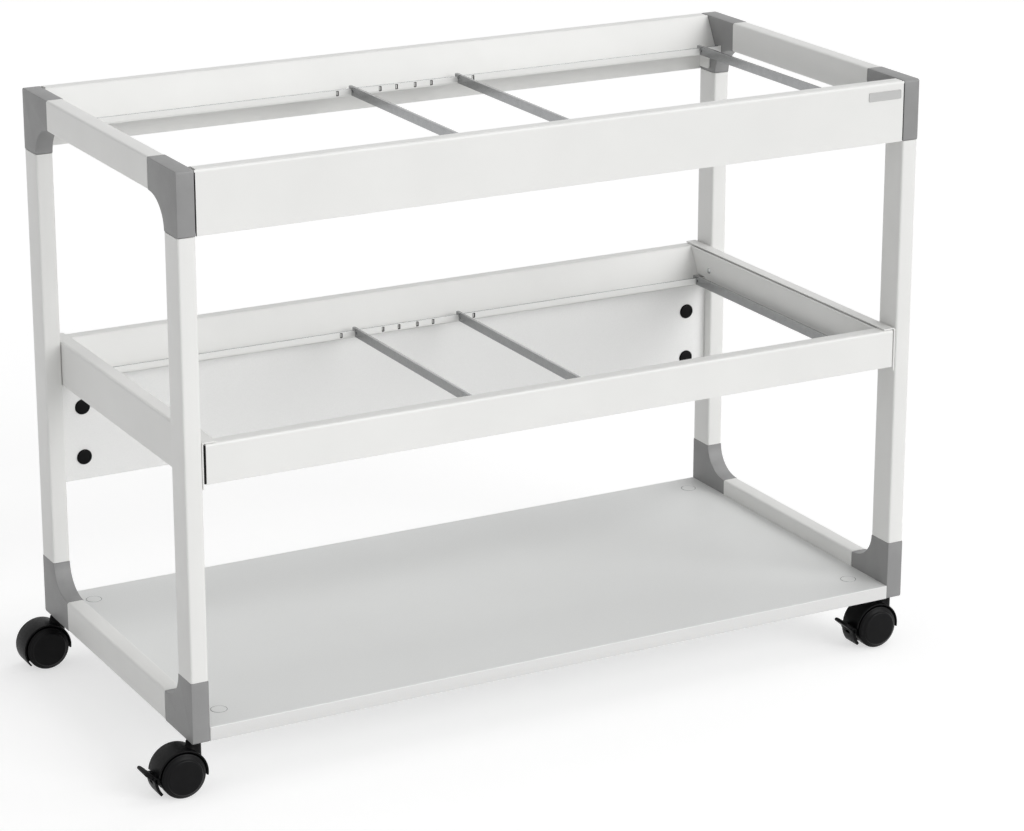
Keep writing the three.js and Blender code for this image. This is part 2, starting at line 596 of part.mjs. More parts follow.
/** The brake lever: a knuckle forked round the lug, a pedal behind it and a curved shoe that carries on the hood. */
function brakeLever() {
  const half = LEVER_WIDTH / 2;
  const inner = WHEEL_RADIUS + SHOE_GAP;
  const outer = inner + SHOE_THICKNESS;
  const shoe = new THREE.Shape();
  shoe.absarc(AXLE_X, AXLE_Z, outer, LEVER_PIVOT_ANGLE, SHOE_END - SHOE_TIP / outer);
  shoe.lineTo(...onWheel(outer - SHOE_TIP, SHOE_END));
  shoe.absarc(AXLE_X, AXLE_Z, inner, SHOE_END, LEVER_PIVOT_ANGLE, true);
  const slope = Math.atan2(PEDAL_RISE, -PEDAL_REACH);
  const [px, pz] = LEVER_PIVOT;
  const pedal = new THREE.Shape();
  pedal.absarc(px, pz, PEDAL_THICKNESS / 2, slope + Math.PI / 2, slope + 1.5 * Math.PI);
  pedal.absarc(
    px - PEDAL_REACH, pz + PEDAL_RISE, PEDAL_THICKNESS / 2, slope - Math.PI / 2, slope + Math.PI / 2,
  );
  const body = join(
    prism(shoe, 'y', -half, LEVER_WIDTH, { curveSegments: 4 }),
    prism(pedal, 'y', -half, LEVER_WIDTH, { curveSegments: 3 }),
    rodAlongY(KNUCKLE_RADIUS, px, pz, -half, half, 12),
  );
  const fork = WEB_THICKNESS / 2 + FIT_GAP;
  const reach = WEB_THICKNESS / 2 + LEVER_PIN_LENGTH + FIT_GAP;
  return cut(
    body,
    rodAlongY(LUG_RADIUS + LUG_RELIEF, px, pz, -fork, fork, 12),
    rodAlongY(LEVER_PIN / 2 + FIT_GAP, px, pz, -reach, reach, 12),
  );
}

// The trolley

const trolley = new THREE.Group();

function add(name, geometry, finish, { at = [0, 0, 0], turn = [0, 0, 0], parent = trolley } = {}) {
  const mesh = new THREE.Mesh(geometry, new THREE.MeshStandardMaterial(FINISHES[finish]));
  mesh.name = name;
  mesh.position.set(...at);
  mesh.rotation.set(...turn);
  parent.add(mesh);
}

const legLength = FRAME_HEIGHT - 2 * (CORNER_DROP + FIT_GAP);
const crossTubeLength = FRAME_DEPTH - 2 * (CORNER_REACH + FIT_GAP);
const legGeometry = geometryOf(tube(legLength));
const crossTubeGeometry = geometryOf(tube(crossTubeLength));
const upperConnector = geometryOf(cornerConnector(false));
const lowerConnector = geometryOf(cornerConnector(true));
for (const [end, side] of SIDES) {
  for (const [face, way] of FACES) {
    const x = side * LEG_X;
    add(`${face}_${end}_leg`, legGeometry, 'painted', { at: [x, way * LEG_Y, CASTOR_HEIGHT + FRAME_HEIGHT / 2] });
    add(`upper_${face}_${end}_connector`, upperConnector, 'connector', {
      at: [x, way * HALF_DEPTH, TOP], turn: way < 0 ? [0, 0, 0] : [0, 0, Math.PI],
    });
    add(`lower_${face}_${end}_connector`, lowerConnector, 'connector', {
      at: [x, way * HALF_DEPTH, CASTOR_HEIGHT], turn: way < 0 ? [0, Math.PI, 0] : [Math.PI, 0, 0],
    });
  }
  for (const [level, z] of [['upper', TOP - TUBE_DEPTH / 2], ['lower', CASTOR_HEIGHT + TUBE_DEPTH / 2]]) {
    add(`${level}_${end}_cross_tube`, crossTubeGeometry, 'painted', {
      at: [side * LEG_X, 0, z], turn: [Math.PI / 2, 0, 0],
    });
  }
  add(`middle_${end}_end_cover`, geometryOf(endCover(side)), 'painted');
  add(`middle_${end}_end_wall`, geometryOf(endWall(side)), 'painted');
}

for (const [face, way] of FACES) {
  add(`top_${face}_file_rail`, geometryOf(topRail(way)), 'painted');
  const halfLength = INNER_X - MID_RAIL_END_GAP;
  add(`middle_${face}_file_rail`, geometryOf(fileRail(way, MID, MID_RAIL_HEIGHT, halfLength)), 'painted');
}

for (const [level, railTop] of [['top', TOP], ['middle', MID]]) {
  const bar = geometryOf(crossBar(railTop));
  for (const [place, x] of BAR_PLACES) add(`${level}_${place}_cross_bar`, bar, 'galvanised', { at: [x, 0, 0] });
}

add('bottom_shelf', geometryOf(shelf()), 'laminate');
add('rear_board', geometryOf(rearBoard()), 'laminate');
const cap = geometryOf(coverCap());
for (const [place, x, z] of CAP_PLACES) {
  add(`rear_board_${place}_cap`, cap, 'black', { at: [x, REAR_BOARD_FRONT - FIT_GAP, z] });
}

const stem = geometryOf(castorStem());
const wheelGeometry = geometryOf(wheel());
const axleGeometry = geometryOf(axle());
const lever = geometryOf(brakeLever());
const axleAt = [AXLE_X, 0, AXLE_Z];
for (const [face, way] of FACES) {
  const braked = way < 0;
  const housing = geometryOf(castorHousing(braked));
  for (const [end, side] of SIDES) {
    const castor = new THREE.Group();
    castor.position.set(side * LEG_X, way * LEG_Y, 0);
    trolley.add(castor);
    const name = `${face}_${end}_castor`;
    add(`${name}_stem`, stem, 'steel', { parent: castor });
    add(`${name}_housing`, housing, 'black', { parent: castor });
    add(`${name}_axle`, axleGeometry, 'steel', { at: axleAt, parent: castor });
    add(`${name}_front_wheel`, wheelGeometry, 'black', { at: axleAt, turn: [0, 0, Math.PI], parent: castor });
    add(`${name}_rear_wheel`, wheelGeometry, 'black', { at: axleAt, parent: castor });
    if (braked) add(`${name}_brake_lever`, lever, 'black', { parent: castor });
  }
}

// The origin is on the floor, under the middle of the trolley's outline
const outline = new THREE.Box3().setFromObject(trolley);
const middle = outline.getCenter(new THREE.Vector3());
trolley.position.set(-middle.x, -middle.y, -outline.min.z);

export default trolley;
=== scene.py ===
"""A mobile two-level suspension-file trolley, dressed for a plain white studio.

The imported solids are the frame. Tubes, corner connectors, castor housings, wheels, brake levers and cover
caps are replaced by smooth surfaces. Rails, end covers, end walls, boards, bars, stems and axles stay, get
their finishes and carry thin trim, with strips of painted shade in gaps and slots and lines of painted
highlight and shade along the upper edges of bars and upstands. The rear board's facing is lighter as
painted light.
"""

import math
from itertools import product

import bpy
import numpy as np
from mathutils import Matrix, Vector


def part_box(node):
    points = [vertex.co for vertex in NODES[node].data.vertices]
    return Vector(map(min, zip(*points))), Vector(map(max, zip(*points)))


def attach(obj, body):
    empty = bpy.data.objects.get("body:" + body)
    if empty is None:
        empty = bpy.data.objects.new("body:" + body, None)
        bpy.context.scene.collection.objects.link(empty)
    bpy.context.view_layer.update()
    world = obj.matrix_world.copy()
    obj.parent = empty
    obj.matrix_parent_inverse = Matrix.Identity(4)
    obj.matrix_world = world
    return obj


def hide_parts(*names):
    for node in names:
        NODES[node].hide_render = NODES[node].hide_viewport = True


bl_info = {
    "name": "Suspension-file trolley",
    "version": (1, 0, 0),
    "blender": (4, 5, 0),
    "location": "View3D > Sidebar > Trolley",
    "description": "Smooth pieces, finishes and studio for a mobile suspension-file trolley",
    "category": "Object",
}

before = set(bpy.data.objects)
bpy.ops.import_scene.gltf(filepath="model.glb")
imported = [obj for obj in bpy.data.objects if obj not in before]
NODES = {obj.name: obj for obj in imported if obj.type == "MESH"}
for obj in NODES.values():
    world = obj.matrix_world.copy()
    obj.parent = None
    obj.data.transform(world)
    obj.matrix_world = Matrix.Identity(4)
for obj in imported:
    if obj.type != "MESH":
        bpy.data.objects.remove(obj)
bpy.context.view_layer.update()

MM = 0.001
FACES = ("front", "rear")
ENDS = ("left", "right")
SIDES = (-1.0, 1.0)
INWARDS = (1.0, -1.0)
CASTORS = [f"{face}_{end}_castor" for face, end in product(FACES, ENDS)]

# Axes of a slab: two for its outline, then one for its thickness
LYING = ((1, 0, 0), (0, 1, 0), (0, 0, 1))
STANDING = ((1, 0, 0), (0, 0, 1), (0, 1, 0))

# Steps round the grids, and the radius at which a turned profile stops short of its axis
ROUND_STEPS = 96
DISC_STEPS = 64
HOOD_STEPS = 72
HUB_STEPS = 48
NECK_STEPS = 20
RIB_STEPS = 16
TURNED_TIP = 0.05 * MM

# Spare slots of an upstand, in metres from the middle of its rail
SPARE_SLOTS = (0.012, 0.033, 0.0875)

# Angles about a castor's wheel axis, in degrees from the side of its stem
HOOD_START = -8.0
HOOD_END = 220.0
BRAKE_HOOD_END = 173.5
BRAKE_WEB_END = 187.9
LEVER_PIVOT = 182.0
ARM_OVERLAP = 1.0
SHOE_END = 217.0

# Groove and tread of a wheel, in shares of its radius and width
WHEEL_GROOVE = ((0.94, 0.75), (0.952, 0.735), (0.915, 0.725), (0.915, 0.69), (0.972, 0.68))
WHEEL_TREAD = ((0.992, 0.655), (1.0, 0.61), (1.0, 0.1), (0.99, 0.04), (0.96, 0.0), (0.8, 0.0))
# Rows of a neck, in shares of its height, and the length of its flare in shares of the flare
NECK_ROWS = (*np.linspace(0.0, 0.25, 7), *np.linspace(0.32, 0.94, 6), 0.975, 1.0)
FLARE_LENGTH = 1.3
# Rows of a grip rib, in shares of its half length and radius
RIB_ROWS = ((-1.0, 0.35), (-0.97, 1.0), (0.97, 1.0), (1.0, 0.35))
RIB_COUNT = 4
# Rim of the bare plate: millimetres from its edge, and share of its thickness
PLATE_RIM = ((0.0, 0.0), (0.0, 0.6), (0.12, 0.9), (0.3, 1.0), (0.7, 1.0), (0.85, 0.8), (1.0, 0.72))
# A painted-shade strip's corner and rim, at most these shares of its width, and the corner of a line of
# painted highlight and shade
STRIP_CORNER_SHARE = 0.4
STRIP_RIM_SHARE = 0.3
PAINTED_LINE_CORNER_SHARE = 0.25

# The middle range of a pattern, which is spread over the whole of a tone or gloss
PATTERN_LOW = 0.3
PATTERN_HIGH = 0.7

# Lamps as (direction they shine from, spread in degrees, strength), and the light all round
KEY_LAMP = ((0.42, -0.85, 0.37), 40.0, 1.55)
TOP_LAMP = ((0.6, 0.05, 0.8), 40.0, 0.6)
FILL_LAMP = ((-0.9, -0.1, 0.4), 60.0, 0.2)
SURROUND = 0.42
WHITE = (1.0, 1.0, 1.0, 1.0)
FLOOR_REACH = 20.0
FLOOR_WHITE = 1.48
FLOOR_WHITE_SHARE = 0.4

CAMERA_PLACE = (-1.63457, -3.16489, 1.47544)
CAMERA_DOWN = 17.1204
CAMERA_ACROSS = 28.3708
CAMERA_SENSOR = 36.0
CAMERA_LENS = 115.8
CAMERA_SHIFT = -0.07
CAMERA_FAR = 100.0


def millimetres(name, description, default):
    """A length property, kept in metres and given here in millimetres."""
    return bpy.props.FloatProperty(
        name=name, description=description, default=default * MM, min=0.0, unit="LENGTH", precision=5
    )


def colour(name, description, default):
    """A colour property, as the linear colour of an sRGB triple from 0 to 255."""
    srgb = np.array(default) / 255.0
    linear = np.where(srgb <= 0.04045, srgb / 12.92, ((srgb + 0.055) / 1.055) ** 2.4)
    return bpy.props.FloatVectorProperty(
        name=name, description=description, default=tuple(float(v) for v in linear), min=0.0, max=1.0,
        size=3, subtype="COLOR"
    )


class TrolleySizes(bpy.types.PropertyGroup):
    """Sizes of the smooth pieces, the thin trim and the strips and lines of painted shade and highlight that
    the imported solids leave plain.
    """

    tube_corner: millimetres("Tube corner", "Outer corner radius of the painted tubes", 2.6)
    tube_wall: millimetres("Tube wall", "Wall thickness of the painted tubes", 1.5)
    connector_reach: millimetres("Connector reach", "Length of a connector along its cross tube", 74)
    connector_drop: millimetres("Connector drop", "Length of a connector along its leg", 69)
    connector_arm: millimetres("Connector arm", "Depth of a connector's arm at its end", 35)
    connector_nose: millimetres("Connector nose", "Rounding of a connector's outer corner", 3)
    connector_edge: millimetres("Connector edge", "Rounding along a connector's edges", 0.9)
    connector_end: millimetres("Connector end", "Rounding at the ends of a connector's arms", 1.1)
    hood_wall: millimetres("Hood wall", "Thickness of a castor's hood", 2)
    hood_gap: millimetres("Hood gap", "Tread to hood", 1.5)
    hood_edge: millimetres("Hood edge", "Rounding of the hood's edges", 0.7)
    web: millimetres("Web", "Thickness of the web between two wheels", 7)
    web_edge: millimetres("Web edge", "Rounding of the edges of web and hub", 0.3)
    neck_radius: millimetres("Neck radius", "Radius of a castor's neck", 6)
    neck_fairing: millimetres("Neck fairing", "How far the neck runs back along the hood", 4.5)
    neck_flare: millimetres("Neck flare", "Spread of the neck where it meets the hood", 1.6)
    neck_lip: millimetres("Neck lip", "Rounding of the neck's top", 0.5)
    stem_bore: millimetres("Stem bore", "Radius of the hole for the stem", 4.3)
    stem_seat: millimetres("Stem seat", "Depth of the hole for the stem", 10.8)
    axle_bore: millimetres("Axle bore", "Radius of the hole for the axle", 4.3)
    knuckle_radius: millimetres("Knuckle radius", "Radius of a brake lever round its pin", 3.4)
    knuckle_gap: millimetres("Knuckle gap", "Tread to knuckle", 0.7)
    lug_radius: millimetres("Lug radius", "Radius of the lug that carries a lever's pin", 3)
    lug_relief: millimetres("Lug relief", "Lug to fork", 2.2)
    fork_gap: millimetres("Fork gap", "Lug's side to fork", 0.3)
    pin_radius: millimetres("Pin radius", "Radius of a lever's pin", 1.5)
    pin_reach: millimetres("Pin reach", "Middle of the castor to the end of a lever's pin", 9)
    pin_gap: millimetres("Pin gap", "Pin to knuckle", 0.3)
    shoe_gap: millimetres("Shoe gap", "Tread to brake shoe", 3.2)
    shoe_thickness: millimetres("Shoe thickness", "Thickness of the brake shoe", 3.3)
    lever_edge: millimetres("Lever edge", "Rounding of a lever's edges", 0.7)
    pedal_reach: millimetres("Pedal reach", "Pin to the pedal's tip, along the trolley", 11)
    pedal_rise: millimetres("Pedal rise", "Pin to the pedal's tip, upwards", 9.5)
    pedal_thickness: millimetres("Pedal thickness", "Thickness of the pedal", 4)
    rib_radius: millimetres("Rib radius", "Radius of a grip rib", 0.5)
    rib_pitch: millimetres("Rib pitch", "One grip rib to the next", 1.7)
    rib_inset: millimetres("Rib inset", "Sides of the pedal to the ends of a rib", 1.5)
    # Lines of painted highlight along the bars' upper edges and of painted shade along the upstands'
    light_line_side: millimetres("Bead side", "How far a bright edge stands out at its sides", 0.06)
    light_line_height: millimetres("Bead height", "Height of a bright edge", 0.5)
    highlight_rise: millimetres("Bead rise", "Bright edge above the top of a bar", 0.14)
    highlight_inset: millimetres("Bead inset", "Ends of a bar to the ends of its bright edge", 2)
    light_line_rim: millimetres("Bead rim", "Rounding of a bright edge", 0.16)
    bar_crown: millimetres("Bar crown", "Top of an upstand to the top of a bar", 2.7)
    upstand_inset: millimetres("Upstand inset", "A rail's face to the middle of its upstand", 48.5)
    # The line of painted shade along an upstand's upper edge
    upstand_rise: millimetres("Upstand rise", "Height of the bright edge above its upstand", 0.2)
    upstand_end: millimetres("Upstand end", "Ends of a rail to the ends of its bright edge", 4)
    slot_width: millimetres("Slot width", "Width of a spare slot in an upstand", 3.3)
    slot_height: millimetres("Slot height", "Height of a spare slot", 6)
    slot_lip: millimetres("Slot lip", "Top of an upstand to a slot", 1)
    # Painted shade in the spare slots
    slot_shade_width: millimetres("Slot edge", "Width of the dark edge in a slot", 0.6)
    slot_shade_corner: millimetres("Slot corner", "Corner radius of the dark edge in a slot", 0.7)
    cap_dome: millimetres("Cap dome", "Height of a cover cap", 2)
    cover_radius: millimetres("Fitting cover radius", "Radius of a flush cover in the shelf", 8.5)
    cover_rise: millimetres("Fitting cover rise", "Height of a flush cover above the shelf", 0.45)
    # The darker ring round a flush cover is painted shade
    cover_gap_shade: millimetres("Fitting cover joint", "Width of the joint round a flush cover", 0.7)
    cover_inset: millimetres("Fitting cover inset", "Cover to the end of the shelf", 27)
    cover_front: millimetres("Fitting cover from the front", "Front covers to the shelf's front edge", 40)
    cover_back: millimetres("Fitting cover from the back", "Rear covers to the shelf's back edge", 34)
    band_height: millimetres("Band height", "Height of the edge band on the shelf", 14.4)
    band_thickness: millimetres("Band thickness", "Thickness of the edge band", 0.6)
    band_proud: millimetres("Band proud", "Edge band before the shelf's edge", 0.2)
    band_round: millimetres("Band round", "Corner radius of the edge band", 0.5)
    plate_length: millimetres("Plate length", "Length of the bare plate on the front rail", 43)
    plate_height: millimetres("Plate height", "Height of the bare plate", 10.4)
    plate_corner: millimetres("Plate corner", "Corner radius of the bare plate", 1.6)
    plate_from_end: millimetres("Plate from the end", "Plate to the end of the rail", 4.2)
    plate_from_top: millimetres("Plate from the top", "Plate to the top of the rail", 9.3)
    plate_thickness: millimetres("Plate thickness", "Thickness of the bare plate", 0.9)
    sheet: millimetres("Sheet", "Thickness of the folded sheet", 1.5)
    # Black strips of painted shade at the middle rails' left ends
    left_shade_depth: millimetres("Seal depth", "Depth of the black strips at the middle rails' left ends", 3)
    left_shade_setback: millimetres("Seal setback", "A rail's face to its seal", 0.5)
    shade_strip_foot: millimetres("Seal foot", "A rail's lower edge to its seal or shade_line", 0.6)
    left_shade_head: millimetres("Seal head", "A rail's upper edge to its seal", 1.6)
    # Dark strips of painted shade where the top rails meet their connectors
    shade_line_width: millimetres("Seam width", "Dark shade_line on the end of a top rail", 0.7)
    shade_line_depth: millimetres("Seam depth", "Depth of the shade_line behind the rail's face", 0.5)
    shade_line_proud: millimetres("Seam proud", "Height of the shade_line before the rail's face", 0.12)
    shade_line_head: millimetres("Seam head", "A top rail's upper edge to its shade_line", 2.9)
    # Dark strips of painted shade in the slits between end walls and covers
    slit_shade_depth: millimetres("Liner depth", "Height of the dark liner between end wall and cover", 3.5)
    slit_shade_drop: millimetres("Liner drop", "An end wall's upper edge to the liner", 0.5)
    slit_shade_inset: millimetres("Liner inset", "Ends of an end wall to its liner", 3)
    # Sizes shared by all the strips of painted shade
    strip_side: millimetres("Strip side", "Room left beside a strip", 0.15)
    strip_corner: millimetres("Strip corner", "Corner radius of a strip", 0.8)
    strip_edge: millimetres("Strip edge", "Rounding of a strip's rims", 0.4)
    screw_radius: millimetres("Screw radius", "Radius of a pan head in the end walls", 3.6)
    screw_height: millimetres("Screw height", "Height of a pan head", 1.5)
    screw_inset: millimetres("Screw inset", "Face of the legs to a screw", 60)
    screw_drop: millimetres("Screw drop", "An end wall's upper edge to a screw", 22)
    screw_gap: millimetres("Screw gap", "An end wall to the heads of its screws", 0.05)
    shank_radius: millimetres("Shank radius", "Radius of a screw's shank", 2.2)
    shank_depth: millimetres("Shank depth", "Length of a screw's shank", 1.5)
    shank_tip: millimetres("Shank tip", "Radius of a screw's tip", 0.2)


class TrolleyColours(bpy.types.PropertyGroup):
    """Colours of the finishes."""

    paint: colour("Paint", "Light grey powder coat on tubes and sheet", (233, 233, 231))
    connector: colour("Connector", "Mid grey moulded corners", (142, 142, 142))
    laminate: colour("Laminate", "Light grey facing of the shelf", (235, 236, 235))
    # Painted light: a lighter copy of the laminate for the recessed rear board
    laminate_painted_lighter: colour("Rear laminate", "Light grey facing of the rear board", (240, 240, 239))
    edge_band: colour("Edge band", "Bands on the long edges of the shelf", (222, 222, 221))
    # Painted shade: a darker ring round each flush cover
    gap_shade: colour("Joint", "Joint round the flush covers", (150, 150, 150))
    galvanised: colour("Galvanised", "Zinc on the cross bars", (156, 157, 158))
    # Painted highlight on the bars' upper edges, painted shade on the upstands' upper edges
    highlight_and_shade_zinc: colour("Bright zinc", "Upper edges of the cross bars and upstands", (168, 169, 170))
    steel: colour("Steel", "Bright stems, axles and screws", (188, 189, 190))
    # This black also colours the strips of painted shade in gaps and slots
    black: colour("Black", "Castor housings, levers, caps and dark strips", (9, 9, 10))
    wheel: colour("Wheel", "Castor wheels", (12, 12, 13))
    plate: colour("Plate", "Satin plate", (192, 192, 191))
    floor: colour("Floor", "Studio floor", (244, 244, 244))


# Surfaces


def outline_of_rectangle(width, height, radius, steps=6):
    """Rounded rectangle about 0: corner centres plus radius times (cos t, sin t), a quarter turn each."""
    turn = np.linspace(0.0, math.pi / 2, steps + 1)
    quarter = np.arange(4)[:, None] * math.pi / 2
    angle = quarter + turn[None, :]
    side_x = np.array([1, -1, -1, 1])[:, None] * (width / 2 - radius)
    side_y = np.array([1, 1, -1, -1])[:, None] * (height / 2 - radius)
    x = side_x + radius * np.cos(angle)
    y = side_y + radius * np.sin(angle)
    return np.stack([x.ravel(), y.ravel()], axis=1)


def grid_faces(rows, columns, wrap_columns):
    """Corner numbers of the quads of a grid whose rows wrap round, as an array of four columns."""
    last = columns if wrap_columns else columns - 1
    i, j = np.meshgrid(np.arange(rows), np.arange(last), indexing="ij")
    next_i = (i + 1) % rows
    next_j = (j + 1) % columns
    quads = [i * columns + j, next_i * columns + j, next_i * columns + next_j, i * columns + next_j]
    return np.stack(quads, axis=-1).reshape(-1, 4)


def shell(points, ring=False):
    """A closed skin from a grid of points (round, along, xyz): round wraps, and so does along for a ring.
    Otherwise a flat face closes each end. The sign of the enclosed volume turns the faces outwards."""
    rows, columns = points.shape[:2]
    corners = points.reshape(-1, 3)
    quads = grid_faces(rows, columns, ring)
    first = np.arange(rows) * columns
    ends = [] if ring else [first[::-1], first + columns - 1]
    fans = [np.stack([np.full(rows - 2, end[0]), end[1:-1], end[2:]], axis=1) for end in ends]
    triangles = np.concatenate([quads[:, [0, 1, 2]], quads[:, [0, 2, 3]], *fans])
    a, b, c = (corners[triangles[:, k]] for k in range(3))
    if np.einsum("ij,ij->i", a, np.cross(b, c)).sum() < 0.0:
        quads = quads[:, ::-1]
        ends = [end[::-1] for end in ends]
    return corners, quads, ends


def turned(profile, origin, along, across, steps=ROUND_STEPS):
    """Surface of revolution of a profile (r, s): origin + s along + r (cos t across + sin t third), with
    third = along x across."""
    along = np.array(along, dtype=float)
    across = np.array(across, dtype=float)
    third = np.cross(along, across)
    angle = np.linspace(0.0, 2 * math.pi, steps, endpoint=False)
    spoke = np.cos(angle)[:, None] * across + np.sin(angle)[:, None] * third
    radius, height = np.array(profile).T
    around = spoke[:, None, :] * radius[None, :, None]
    return np.array(origin) + around + height[None, :, None] * along


def arc(centre, radius_x, radius_y, start, end, steps):
    """Points of an ellipse's arc, centre + (rx cos t, ry sin t), with t from start to end in degrees."""
    angle = np.radians(np.linspace(start, end, steps + 1))
    return np.stack([centre[0] + radius_x * np.cos(angle), centre[1] + radius_y * np.sin(angle)], axis=1)


def normals_of(outline):
    """Unit normals of a closed outline, a quarter turn from its central differences."""
    along = np.roll(outline, -1, axis=0) - np.roll(outline, 1, axis=0)
    length = np.linalg.norm(along, axis=1, keepdims=True)
    return np.stack([along[:, 1], -along[:, 0]], axis=1) / length


def area_of(outline):
    """Signed area of a closed outline, half the sum of x dy - y dx."""
    following = np.roll(outline, -1, axis=0)
    return 0.5 * np.sum(outline[:, 0] * following[:, 1] - outline[:, 1] * following[:, 0])


def rounded_slab(outline, thickness, edge, origin, axes, steps=4):
    """A slab with both rims rounded: inset = edge (1 - sin t), depth = edge (1 - cos t). Its points stand
    at origin + s a + t b + depth c, with (s, t) on the outline and a, b and c as the axes."""
    normal = normals_of(outline) * math.copysign(1.0, area_of(outline))
    turn = np.linspace(0.0, math.pi / 2, steps + 1)
    inset = edge * (1.0 - np.sin(turn))
    depth = -thickness / 2 + edge * (1.0 - np.cos(turn))
    inset = np.concatenate([inset, inset[::-1]])
    depth = np.concatenate([depth, -depth[::-1]])
    flat = outline[:, None, :] - normal[:, None, :] * inset[None, :, None]
    deep = np.broadcast_to(depth, flat.shape[:2])[..., None]
    return np.array(origin) + np.concatenate([flat, deep], axis=-1) @ np.array(axes, dtype=float)


def hollow_bar(low, high, axis, corner, wall):
    """A hollow rounded rectangle between two corners of a box: the outer outline at both ends of the axis,
    then the inner one back, as a ring of four rows."""
    across = [k for k in range(3) if k != axis]
    width, depth = (high - low)[across]
    middle = (high + low) / 2
    outer = outline_of_rectangle(width, depth, corner)
    inner = outline_of_rectangle(width - 2 * wall, depth - 2 * wall, corner - wall)
    rows = [(outer, low[axis]), (outer, high[axis]), (inner, high[axis]), (inner, low[axis])]
    grid = np.empty((len(outer), len(rows), 3))
    for k, (outline, height) in enumerate(rows):
        grid[:, k, across] = outline + middle[across]
        grid[:, k, axis] = height
    return grid


def box_of(node):
    """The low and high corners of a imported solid, as arrays."""
    low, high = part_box(node)
    return np.array(low), np.array(high)


def outer_wall(node, way):
    """Where a solid's outer wall stands in Y: its front for way 1, its rear for way -1."""
    low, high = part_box(node)
    return low.y if way > 0 else high.y


def piece(name, shells, material, body, stands_for=(), sharp=35.0):
    """One object from closed shells, smooth apart from its sharp edges, riding on a body."""
    counts = np.cumsum([0] + [len(corners) for corners, _, _ in shells])
    corners = np.concatenate([part[0] for part in shells])
    faces = []
    for start, (_, quads, ends) in zip(counts, shells):
        faces += (quads + start).tolist()
        faces += [(end + start).tolist() for end in ends]
    mesh = bpy.data.meshes.new(name)
    mesh.from_pydata(corners.tolist(), [], faces)
    smooth = np.concatenate([np.arange(len(quads) + len(ends)) < len(quads) for _, quads, ends in shells])
    mesh.polygons.foreach_set("use_smooth", smooth)
    mesh.set_sharp_from_angle(angle=math.radians(sharp))
    mesh.materials.append(material)
    mesh.update()
    made = bpy.data.objects.new(name, mesh)
    bpy.context.scene.collection.objects.link(made)
    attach(made, body)
    if stands_for:
        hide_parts(*stands_for)
    return made


def painted_light_line(name, top, size, sizes, material, body):
    """A line of painted highlight on a bar, painted shade on an upstand: a long rounded rectangle in (X, Y),
    as a thin slab below its top.
    """
    outline = outline_of_rectangle(*size, PAINTED_LINE_CORNER_SHARE * min(size), steps=4)
    origin = np.array([top[0], top[1], top[2] - sizes.light_line_height / 2])
    grid = rounded_slab(outline, sizes.light_line_height, sizes.light_line_rim, origin, LYING, steps=3)
    piece(name, [shell(grid)], material, body)


def finish_nodes(names, material):
    """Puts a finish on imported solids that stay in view."""
    for name in names:
        for held in NODES[name].material_slots:
            held.material = material


# Finishes


def add_node(tree, kind, values=None, links=None):
    """A shader node with values on its sockets, and links into it from other nodes' sockets."""
    made = tree.nodes.new(f"ShaderNode{kind}")
    for socket, value in (values or {}).items():
        made.inputs[socket].default_value = value
    for socket, source in (links or {}).items():
        tree.links.new(source, made.inputs[socket])
    return made


class Finish:
    """A principled material with helpers for patterns on Object coordinates."""

    def __init__(self, name, base, roughness, metallic=0.0, sheen=0.5):
        self.material = bpy.data.materials.get(name) or bpy.data.materials.new(name)
        self.material.use_nodes = True
        self.tree = self.material.node_tree
        self.tree.nodes.clear()
        plain = {"Roughness": roughness, "Metallic": metallic, "Specular IOR Level": sheen}
        self.shader = add_node(self.tree, "BsdfPrincipled", {"Base Color": (*base, 1.0), **plain})
        add_node(self.tree, "OutputMaterial", links={"Surface": self.shader.outputs["BSDF"]})
        self.place = add_node(self.tree, "TexCoord").outputs["Object"]

    def stretched(self, scale):
        """Object coordinates with their own scale on each axis."""
        return add_node(self.tree, "Mapping", {"Scale": scale}, {"Vector": self.place}).outputs["Vector"]

    def noise(self, scale, detail=2.0, roughness=0.5, place=None):
        """A cloudy pattern."""
        values = {"Scale": scale, "Detail": detail, "Roughness": roughness}
        return add_node(self.tree, "TexNoise", values, {"Vector": place or self.place}).outputs["Fac"]

    def cells(self, scale):
        """A pattern of flat-toned cells."""
        return add_node(self.tree, "TexVoronoi", {"Scale": scale}, {"Vector": self.place}).outputs["Color"]

    def tint(self, value, base, low, high):
        """Base colour from low to high times the given colour, by a pattern."""
        ramp = add_node(self.tree, "ValToRGB", links={"Fac": value})
        dark, light = ramp.color_ramp.elements
        dark.position = PATTERN_LOW
        light.position = PATTERN_HIGH
        dark.color = (*(np.array(base) * low), 1.0)
        light.color = (*np.minimum(np.array(base) * high, 1.0), 1.0)
        self.tree.links.new(ramp.outputs["Color"], self.shader.inputs["Base Color"])

    def rough(self, value, low, high):
        """Roughness from low to high, by a pattern."""
        values = {"From Min": PATTERN_LOW, "From Max": PATTERN_HIGH, "To Min": low, "To Max": high}
        node = add_node(self.tree, "MapRange", values, {"Value": value})
        self.tree.links.new(node.outputs["Result"], self.shader.inputs["Roughness"])

    def bump(self, value, strength, distance):
        """Fine relief by a pattern, with its height in metres."""
        values = {"Strength": strength, "Distance": distance}
        node = add_node(self.tree, "Bump", values, {"Height": value})
        self.tree.links.new(node.outputs["Normal"], self.shader.inputs["Normal"])


def powder_coat(colours):
    """Satin powder coat: a fine orange peel, with a faint unevenness of tone."""
    made = Finish("powder_coat", colours.paint, roughness=0.42)
    made.tint(made.noise(9.0, detail=3.0), colours.paint, low=0.975, high=1.015)
    made.rough(made.noise(60.0), low=0.38, high=0.46)
    made.bump(made.noise(1100.0, detail=1.0), strength=0.10, distance=0.0002)
    return made.material


